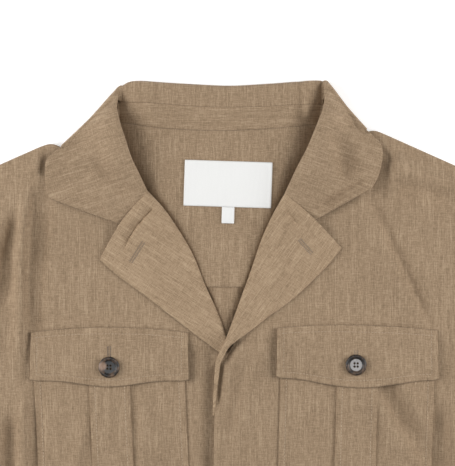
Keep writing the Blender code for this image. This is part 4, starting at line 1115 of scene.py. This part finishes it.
# How far the blunt point of the lower edge comes down, as a share, and how narrow it is
FLAP_POINT = {"right": (0.75, 5.0), "left": (1.0, 2.6)}
FLAP_CREASES = {
    "right": (
        (((-36, -184), (-35, -212), (-35, -250)), 3, 8, 2.8),
        (((-168, -196), (-140, -200), (-116, -197)), 5, 6, 0.5),
        (((-80, -190), (-62, -206), (-50, -222)), 8, 9, 0.6),
        (((-150, -222), (-128, -214), (-116, -208)), 6, 6, 0.4),
    ),
    "left": (
        (((46, -166), (46, -204), (47, -246)), 8, 3, 2.3),
        (((66, -196), (88, -200), (106, -198)), 6, 6, 0.5),
        *DIAGONAL_RIDGES,
        (((76, -222), (98, -216), (110, -210)), 6, 7, 0.4),
    ),
}


def flap_z(side, x, y, down):
    """Height of the flap's middle surface, over the pocket and its pleat."""
    pleat = 1.0 - smooth((np.abs(x - POCKET[side]["x"]) - PLEAT_HALF - PLEAT_MARGIN) / FLAP_BUMP)
    over_pocket = (TRIM_WALL + LAY + 4.0 * PLEAT_FOLD * pleat) * smooth(down / FLAP_RAMP)
    z = front_z(side, x, y, False) + LINEN_WALL / 2 + LAY + over_pocket + FLAP_WALL / 2
    return z + crease_rise(x, y, FLAP_CREASES[side])


flap_grids = {}
flap_rows, flap_columns = np.linspace(0.0, 1.0, 56)[:, None], np.linspace(-1.0, 1.0, 141)
for side in SIGN:
    flap = POCKET[side]
    crown = 1.0 - flap_columns**2
    level = flap["top"] + flap["lean"] * flap_columns
    top = level + flap["bow"] * crown
    point_share, point_narrow = FLAP_POINT[side]
    low = level - flap["side_drop"] - (flap["drop"] - flap["side_drop"]) * point_share * crown**point_narrow
    at_corner = np.maximum(np.abs(flap_columns) - FLAP_STRAIGHT, 0.0) / (1.0 - FLAP_STRAIGHT)
    low = low + FLAP_CORNER * at_corner**2
    x = flap["x"] + flap_columns * flap["half"] * (1.0 + FLAP_FLARE * flap_rows)
    y = mix(top, low, flap_rows)
    from_edge = np.minimum(np.minimum(top - y, y - low), flap["half"] - np.abs(x - flap["x"]))
    sunk = SEAM_SINK * np.exp(-(((from_edge - SEAM_INSET) / SEAM_REACH) ** 2))
    grid = grid_of(x, y, flap_z(side, x, y, top - y) - sunk)
    flap_grids[side] = grid
    shift = (SIGN[side] * 0.77, 0.5)
    cloth = wall_of_cloth("flap_" + side + "_cloth", grid, FLAP_WALL, grid_of(x, y), linen, shift)
    place_cloth(cloth, "flap_" + side)

# Buttons
# Four-hole buttons turned from dark horn, with a mottled polished rim round a dished middle that has a
# painted grey reflection, and a painted glint on the darker one.
# Each is sewn to its pocket with linen thread, and holds the flap by the buttonhole above it.
BUTTON_RADIUS, HOLE_RADIUS, HOLE_REACH = 9.5 * MM, 1.1 * MM, 1.4 * MM
# Share of the radius and height, from the middle of the back over the rim to the middle of the dish
BUTTON_PROFILE = (
    (0.00, 0.0000),
    (0.78, 0.0000),
    (0.96, 0.0009),
    (1.00, 0.0017),
    (0.95, 0.0027),
    (0.83, 0.0031),
    (0.70, 0.0028),
    (0.60, 0.0020),
    (0.00, 0.0017),
)
FOUR_HOLES = [np.array((x, y, 0.0)) * HOLE_REACH for x in (-1.0, 1.0) for y in (-1.0, 1.0)]
DRILL = ((0.0, -2.0 * MM), (HOLE_RADIUS, -2.0 * MM), (HOLE_RADIUS, 6.0 * MM), (0.0, 6.0 * MM))
SHARP = math.radians(38.0)
# Middle of a painted glint on the darker button, in shares of its radius
GLINT_PLACE = (-0.62, 0.10, 0.0)
# Sideways shift in the buttonhole, and how strong the painted grey reflection in the dish is
BUTTONS = {"right": (0.0, 0.03), "left": (-1.4 * MM, 0.92)}


def blend(tree, share, first, second):
    """A colour between two others."""
    return put(tree, "ShaderNodeMix", {0: share, 6: first, 7: second}, data_type="RGBA").node.outputs[2]


def make_horn():
    """Dark brown horn: mottled rim, a dark dish with a painted grey reflection whose strength each button
    carries, and a painted glint on the darker button.
    """
    material, tree, shader = new_material("dark_horn")
    face = put(tree, "ShaderNodeUVMap", uv_map="face")
    place = put(tree, "ShaderNodeTexCoord").node.outputs["Object"]
    pale = put(tree, "ShaderNodeAttribute", attribute_name="painted_reflection").node.outputs["Fac"]
    mottle = {"Vector": place, "Scale": 190.0, "Detail": 3.0, "Roughness": 0.65}
    veins = {"Vector": place, "Scale": 420.0, "Detail": 2.0, "Distortion": 1.2}
    mottle, veins = put(tree, "ShaderNodeTexNoise", mottle), put(tree, "ShaderNodeTexNoise", veins)
    from_middle = put(tree, "ShaderNodeVectorMath", {0: face}, operation="LENGTH").node.outputs["Value"]
    dish = rescale(tree, from_middle, 0.61, 0.53, course="SMOOTHSTEP")
    flecked = rescale(tree, mottle, 0.46, 0.68)
    rim = blend(tree, flecked, (0.010, 0.008, 0.007, 1.0), (0.115, 0.070, 0.042, 1.0))
    # Painted reflection: the dark dish turns grey as far as each button's attribute says
    reflected_grey = calculate(tree, "MULTIPLY", pale, rescale(tree, veins, 0.3, 0.7, 0.8, 1.15))
    middle = blend(tree, reflected_grey, (0.022, 0.024, 0.026, 1.0), (0.340, 0.328, 0.325, 1.0))
    # Painted glint: a pale brown patch on the dish of the darker button
    apart = put(tree, "ShaderNodeVectorMath", {0: face, 1: GLINT_PLACE}, operation="DISTANCE").node
    glint = rescale(tree, apart.outputs["Value"], 0.52, 0.20, course="SMOOTHSTEP")
    glint = calculate(tree, "MULTIPLY", glint, calculate(tree, "SUBTRACT", 0.85, pale))
    feed(tree, shader, {
        "Base Color": blend(tree, glint, blend(tree, dish, rim, middle), (0.33, 0.215, 0.15, 1.0)),
        "Roughness": rescale(tree, dish, 0.0, 1.0, 0.45, 0.50),
        "Normal": relief(tree, veins, 0.12, 0.1 * MM),
        "Coat Weight": 0.06,
        "Coat Roughness": 0.12,
    })
    return material


def turned(profile, sides, middle):
    """Points and outward faces of a lathe-turned shape: radii and heights from its lower pole up."""
    angle = 2.0 * np.pi * np.arange(sides) / sides
    rings = [grid_of(r * np.cos(angle), r * np.sin(angle), height) for r, height in profile[1:-1]]
    points = np.concatenate([[(0.0, 0.0, profile[0][1])], *rings, [(0.0, 0.0, profile[-1][1])]]) + middle
    here = 1 + np.arange(sides)
    after = 1 + (np.arange(sides) + 1) % sides
    faces = [(0, b, a) for a, b in zip(here, after)]
    for ring in range(len(rings) - 1):
        low, high = ring * sides, (ring + 1) * sides
        faces += [(a + low, b + low, b + high, a + high) for a, b in zip(here, after)]
    last = (len(rings) - 1) * sides
    return points, faces + [(len(points) - 1, a + last, b + last) for a, b in zip(here, after)]


def settle(piece):
    """The piece with its modifiers made into a plain mesh."""
    finished = bpy.data.meshes.new_from_object(piece.evaluated_get(bpy.context.evaluated_depsgraph_get()))
    finished.name = piece.name
    piece.modifiers.clear()
    piece.data = finished


horn = make_horn()
profile_places = np.linspace(0.0, len(BUTTON_PROFILE) - 1, 41)
fine_profile = along(np.array(BUTTON_PROFILE) * (BUTTON_RADIUS, 1.0), profile_places)
button_seats = {}
for side, (shift, painted_reflection) in BUTTONS.items():
    flap = POCKET[side]
    x, y = flap["x"] + shift, flap["top"] - flap["button_drop"]
    z = flap_z(side, np.array(x), np.array(y), flap["bow"] + flap["button_drop"])
    seat = np.array((x, y, float(z + FLAP_WALL / 2 + SEAM_GAP)))
    button_seats[side] = seat
    button = add_mesh("button_" + side + "_horn", *turned(fine_profile, 72, seat), horn)
    drill_points, drill_faces = [], []
    for hole in FOUR_HOLES:
        points, faces = turned(DRILL, 20, seat + hole + (0.0, NECK_SEAM, 0.0))
        drill_faces += [tuple(corner + len(drill_points) for corner in face) for face in faces]
        drill_points += points.tolist()
    drill_mesh = bpy.data.meshes.new("drills")
    drill_mesh.from_pydata(drill_points, [], drill_faces)
    drill = add_object("drills", drill_mesh)
    holes = button.modifiers.new("holes", "BOOLEAN")
    holes.operation, holes.solver, holes.object = "DIFFERENCE", "EXACT", drill
    settle(button)
    bpy.data.objects.remove(drill)
    button.data.set_sharp_from_angle(angle=SHARP)
    spots = np.array([vertex.co for vertex in button.data.vertices]) - (0.0, NECK_SEAM, 0.0) - seat
    corners = np.array([loop.vertex_index for loop in button.data.loops])
    on_face = spots[corners, :2] / BUTTON_RADIUS
    button.data.uv_layers.new(name="face").data.foreach_set("uv", on_face.ravel())
    # Each button carries how strong the painted reflection in its dish is
    carried = button.data.attributes.new("painted_reflection", "FLOAT", "POINT")
    carried.data.foreach_set("value", np.full(len(spots), painted_reflection))
    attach(button, "root")
    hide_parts("button_" + side)

# Stitching and buttonholes
# Tone-on-tone linen thread: rows of topstitching on the flaps, pockets, pleats, hems and cuffs, paler on the
# flaps and pockets as painted highlight.
# The buttonholes are worked with close cross stitches round a slit, in thread darkened as painted shade of
# the slit, and thread holds the buttons, darkest in the holes as painted shade.
HEM_DEPTH, HEM_INSET = 0.025, 0.004
INSET, PLEAT_CLEAR = 5.2 * MM, 1.0 * MM
# Stitches in mm: length, width and height, and how far apart they are
TOPSTITCH, POCKET_PITCH, HEM_PITCH = (2.5, 0.64, 0.45), 3.0, 3.2
HOLE_STITCH, HOLE_PITCH = (2.0, 0.62, 0.7), 0.62
# Thread stubs in the button holes, whose darkest tone is painted shade of the holes
HOLE_SHADE_STUB, HOLE_SHADE_PITCH = (1.5, 1.5, 0.6), 1.0
# Thread on the flaps and pockets is the thread's own colour raised above the hems' as painted highlight of
# the lit ridges beside the seams
FLAP_HIGHLIGHT_TONE, POCKET_HIGHLIGHT_TONE = 0.72, 0.84
# Rows and columns of a flap's points between its edges and its stitches, columns of a lapel's points in and
# beside its roll, and points that the stitches leave free at each edge of a cuff
FLAP_ROW, FLAP_COLUMN, LEAF_COLUMN, CUFF_ENDS = 6, 5, 14, 3
# Length of the steps in which stitched lines are laid on cloth, and the least distance that counts there
STITCH_STEP, TOUCH = 1.5 * MM, 0.02 * MM
# Buttonholes: ends in plan in mm on the lapels, and from the button up on the flaps
LAPEL_HOLES = {"right": ((-74, -100), (-85.5, -118)), "left": ((66, -97.5), (77, -110))}
SLIT_TOP, SLIT_FOOT = {"right": 18.5 * MM, "left": 12.8 * MM}, 4.0 * MM
# Tones of the buttonhole thread, darker than the other stitching as painted shade of the slits, by different
# amounts
SLIT_SHADE_TONE = {"lapel_right": 0.44, "lapel_left": 0.52, "flap_right": 0.18, "flap_left": 0.40}
HOLE_HALF = 1.15 * MM
THREAD_LIFT, THREAD_RUN = 0.25 * MM, 0.2 * MM


def make_thread():
    """Twisted linen thread, whose tone each row of stitches carries: raised on some rows as painted
    highlight, lowered on others as painted shade.
    """
    material, tree, shader = new_material("sewing_thread")
    place = put(tree, "ShaderNodeTexCoord").node.outputs["Object"]
    uneven = put(tree, "ShaderNodeTexNoise", {"Vector": place, "Scale": 700.0, "Detail": 1.0})
    twist = put(tree, "ShaderNodeTexWave", {"Vector": place, "Scale": 500.0}, bands_direction="DIAGONAL")
    tone = put(tree, "ShaderNodeAttribute", attribute_name="tone").node.outputs["Fac"]
    tone = calculate(tree, "ADD", tone, centred(tree, uneven, 0.3))
    feed(tree, shader, {
        "Base Color": shades(tree, tone, (0.085, 0.057, 0.036), (0.500, 0.380, 0.262)),
        "Roughness": rescale(tree, uneven, 0.0, 1.0, 0.65, 0.85),
        "Normal": relief(tree, twist, 0.3, 0.1 * MM),
        "Sheen Weight": 0.15,
    })
    return material


def make_stitching():
    """Stitches of one size along lines, each a little uneven."""
    tree = bpy.data.node_groups.new("stitching", "GeometryNodeTree")
    add_sockets(tree, "INPUT", Line="Geometry", Pitch="Float", Turn="Float", Tone="Float")
    add_sockets(tree, "INPUT", Size="Vector", Thread="Material")
    add_sockets(tree, "OUTPUT", Stitches="Geometry")
    given = tree.nodes.new("NodeGroupInput").outputs
    line = put(tree, "GeometryNodeMeshToCurve", {"Mesh": given["Line"]})
    spots = put(tree, "GeometryNodeCurveToPoints", {"Curve": line, "Length": given["Pitch"]}, mode="LENGTH")
    tangent = spots.node.outputs["Tangent"]
    facing = put(tree, "FunctionNodeAlignRotationToVector", {"Vector": tangent}, axis="X")
    lean = {2: -0.10, 3: 0.10, "Seed": 5}
    lean = put(tree, "FunctionNodeRandomValue", lean, data_type="FLOAT").node.outputs[1]
    angle = calculate(tree, "ADD", given["Turn"], lean)
    turn = put(tree, "FunctionNodeEulerToRotation", {0: put(tree, "ShaderNodeCombineXYZ", {"Z": angle})})
    facing = put(tree, "FunctionNodeRotateRotation", {0: facing, 1: turn}, rotation_space="LOCAL")
    spread = {0: (0.9, 0.85, 0.85), 1: (1.05, 1.1, 1.1), "Seed": 3}
    uneven = put(tree, "FunctionNodeRandomValue", spread, data_type="FLOAT_VECTOR")
    size = put(tree, "ShaderNodeVectorMath", {0: given["Size"], 1: uneven}, operation="MULTIPLY")
    stitch = put(tree, "GeometryNodeMeshUVSphere", {"Segments": 6, "Rings": 4, "Radius": 0.5})
    row = {"Points": spots, "Instance": stitch, "Rotation": facing, "Scale": size}
    sewn = put(tree, "GeometryNodeRealizeInstances", {0: put(tree, "GeometryNodeInstanceOnPoints", row)})
    shade = {"Geometry": sewn, "Name": "tone", "Value": given["Tone"]}
    sewn = put(tree, "GeometryNodeStoreNamedAttribute", shade)
    sewn = put(tree, "GeometryNodeSetShadeSmooth", {0: sewn})
    sewn = put(tree, "GeometryNodeSetMaterial", {"Geometry": sewn, "Material": given["Thread"]})
    feed(tree, tree.nodes.new("NodeGroupOutput"), {"Stitches": sewn})
    return tree


def lay_on(face, knots, layered=False, near=6):
    """A bent line in plan, laid on the upper side of a grid of points, or on the highest of its layers."""
    flat = face.reshape(-1, 3)
    laid = []
    for x, y in walk(knots, STITCH_STEP):
        apart = np.hypot(flat[:, 0] - x, flat[:, 1] - y)
        nearest = np.argpartition(apart, near)[:near]
        weight = 1.0 / (apart[nearest] + TOUCH)
        levels = flat[nearest, 2]
        laid.append((x, y, levels.max() if layered else (levels * weight).sum() / weight.sum()))
    return np.array(laid)


thread = make_thread()
stitching = make_stitching()


def sew(name, lines, pitch, size, turn=0.0, tone=0.55):
    """Stitches along lines in the plan frame: pitch and size in mm."""
    starts = np.cumsum([0] + [len(line) for line in lines])
    edges = [(at, at + 1) for start, line in zip(starts, lines) for at in range(start, start + len(line) - 1)]
    mesh = bpy.data.meshes.new(name)
    mesh.from_pydata((np.concatenate(lines) + (0.0, NECK_SEAM, 0.0)).tolist(), edges, [])
    stitches = add_object(name, mesh)
    row = stitches.modifiers.new("stitching", "NODES")
    row.node_group = stitching
    values = {"Pitch": pitch * MM, "Turn": turn, "Tone": tone, "Thread": thread}
    values["Size"] = [length * MM for length in size]
    for socket in stitching.interface.items_tree:
        if socket.in_out == "INPUT" and socket.name in values:
            row[socket.identifier] = values[socket.name]
    settle(stitches)
    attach(stitches, "root")


for side, sign in SIGN.items():
    flap = POCKET[side]
    flap_face = upper_face(flap_grids[side], FLAP_WALL)
    low, far = len(flap_rows) - 1 - FLAP_ROW, len(flap_columns) - 1 - FLAP_COLUMN
    top_row = flap_face[FLAP_ROW, FLAP_COLUMN - 1 : far + 2]
    down, up = flap_face[2:low, FLAP_COLUMN], flap_face[low - 1 : 1 : -1, far]
    round_flap = np.concatenate([down, flap_face[low, FLAP_COLUMN : far + 1], up])
    sew("flap_" + side + "_stitches", [top_row, round_flap], POCKET_PITCH, TOPSTITCH, tone=FLAP_HIGHLIGHT_TONE)

    pocket_face = upper_face(pocket_grids[side], TRIM_WALL)
    high, low = flap["top"] - flap["side_drop"], flap["top"] - POCKET_DROP - POCKET_HEIGHT + INSET
    middle = flap["x"] + flap["pocket_lean"] * (high - low)
    edge, pleat, beside = flap["pocket_half"] - INSET, PLEAT_HALF - INSET, PLEAT_HALF + PLEAT_CLEAR
    rows = [((flap["x"] + reach, high), (middle + reach, low)) for reach in (-edge, edge, -pleat, pleat)]
    for start, end in ((-edge, -beside), (-pleat, pleat), (beside, edge)):
        rows.append(((middle + start, low), (middle + end, low)))
    rows = [lay_on(pocket_face, row, layered=True) for row in rows]
    sew("pocket_" + side + "_stitches", rows, POCKET_PITCH, TOPSTITCH, tone=POCKET_HIGHLIGHT_TONE)

    front_face = upper_face(front_grids[side], LINEN_WALL)
    hem_y = HEM_Y + HEM_DEPTH
    edge_x = np.interp(hem_y, front_face[::-1, 0, 1], front_face[::-1, 0, 0])
    hem = lay_on(front_face, ((edge_x + sign * HEM_INSET, hem_y), (sign * (HEM_HALF - HEM_INSET), hem_y)))
    sew("hem_" + side + "_stitches", [hem], HEM_PITCH, TOPSTITCH)
    cuff_row = round((1.0 - HEM_DEPTH / SLEEVE_LENGTH) * (len(sleeve_share) - 1))
    cuff = sleeve_grids[side][cuff_row, CUFF_ENDS:-CUFF_ENDS] + (0.0, 0.0, LINEN_WALL / 2)
    sew("cuff_" + side + "_stitches", [cuff], HEM_PITCH, TOPSTITCH)

    lapel_face = upper_face(lapel_grids[side], DOUBLE_WALL)[:, LEAF_COLUMN:]
    x, y = button_seats[side][:2]
    lapel_slit = np.array(LAPEL_HOLES[side]) * MM
    flap_slit = np.array(((x, y + SLIT_TOP[side]), (x, y + SLIT_FOOT)))
    for place, face, ends in (("lapel_", lapel_face, lapel_slit), ("flap_", flap_face, flap_slit)):
        run_x, run_y = ends[1] - ends[0]
        across = np.array((run_y, -run_x)) / np.hypot(run_x, run_y) * HOLE_HALF
        worked = [lay_on(face, ends - across), lay_on(face, ends + across)]
        name, tone = place + side + "_buttonhole", SLIT_SHADE_TONE[place + side]
        sew(name, worked, HOLE_PITCH, HOLE_STITCH, turn=math.pi / 2, tone=tone)
    # The thread in the button holes takes the darkest tone: painted shade of the holes
    ends = [button_seats[side] + (reach, 0.0, THREAD_LIFT) for reach in (-THREAD_RUN / 2, THREAD_RUN / 2)]
    strands = [np.array(ends) + hole for hole in FOUR_HOLES]
    sew("button_" + side + "_thread", strands, HOLE_SHADE_PITCH, HOLE_SHADE_STUB, tone=0.0)

# Floor, light and camera
# A plain white sweep, faintly lit from below, between two low soft boxes and under a high one.
# The camera looks straight down, as in the photograph.
PHOTO_WIDTH, PHOTO_HEIGHT = 455, 466
PIXEL = 0.90 * MM
NECK_PIXEL = (226.0, 131.0)
CAMERA_HEIGHT = 2.6
FOCUS_Z = 0.008
FLOOR_SIZE, FLOOR_Z, FLOOR_GLOW = 8.0, -0.3 * MM, 0.22
ROOM_LIGHT = 0.18
# Soft boxes: name, place from the middle of the view, diameter, power
SOFT_BOXES = (
    ("top_box", (-0.2, 0.3, 3.3), 1.6, 20.0),
    ("left_box", (-1.53, 0.08, 0.85), 1.3, 29.7),
    ("right_box", (1.53, 0.08, 0.85), 1.3, 27.1),
)
WHITE = (1.0, 1.0, 1.0, 1.0)
look_x = (PHOTO_WIDTH / 2 - NECK_PIXEL[0]) * PIXEL
look_y = NECK_SEAM + (NECK_PIXEL[1] - PHOTO_HEIGHT / 2) * PIXEL
camera_data = bpy.data.cameras.new("camera")
camera_data.sensor_fit = "HORIZONTAL"
camera_data.lens = camera_data.sensor_width * (CAMERA_HEIGHT - FOCUS_Z) / (PHOTO_WIDTH * PIXEL)
camera = add_object("camera", camera_data)
camera.location = (look_x, look_y, CAMERA_HEIGHT)
bpy.context.scene.camera = camera

floor_material, tree, shader = new_material("white_floor")
grain = put(tree, "ShaderNodeTexNoise", {"Scale": 40.0, "Detail": 2.0})
feed(tree, shader, {
    "Base Color": rescale(tree, grain, 0.0, 1.0, 0.93, 0.95),
    "Roughness": 0.8,
    "Emission Color": WHITE,
    "Emission Strength": FLOOR_GLOW,
})
half = FLOOR_SIZE / 2
floor_corners = [(x, y, FLOOR_Z) for x, y in ((-half, -half), (half, -half), (half, half), (-half, half))]
floor = add_mesh("floor", np.array(floor_corners), [(0, 1, 2, 3)], floor_material)

for name, place, size, power in SOFT_BOXES:
    box_data = bpy.data.lights.new(name, "AREA")
    box_data.shape = "DISK"
    box_data.size = size
    box_data.energy = power
    box = add_object(name, box_data)
    box.location = (look_x + place[0], look_y + place[1], place[2])
    tilt = math.atan2(math.hypot(place[0], place[1]), place[2])
    box.rotation_euler = (tilt, 0.0, math.atan2(-place[1], -place[0]) - math.pi / 2)
world = bpy.data.worlds.new("studio")
world.use_nodes = True
feed(world.node_tree, world.node_tree.nodes["Background"], {"Color": WHITE, "Strength": ROOM_LIGHT})
bpy.context.scene.world = world
bpy.context.scene.view_settings.view_transform = "Standard"

bpy.context.view_layer.update()
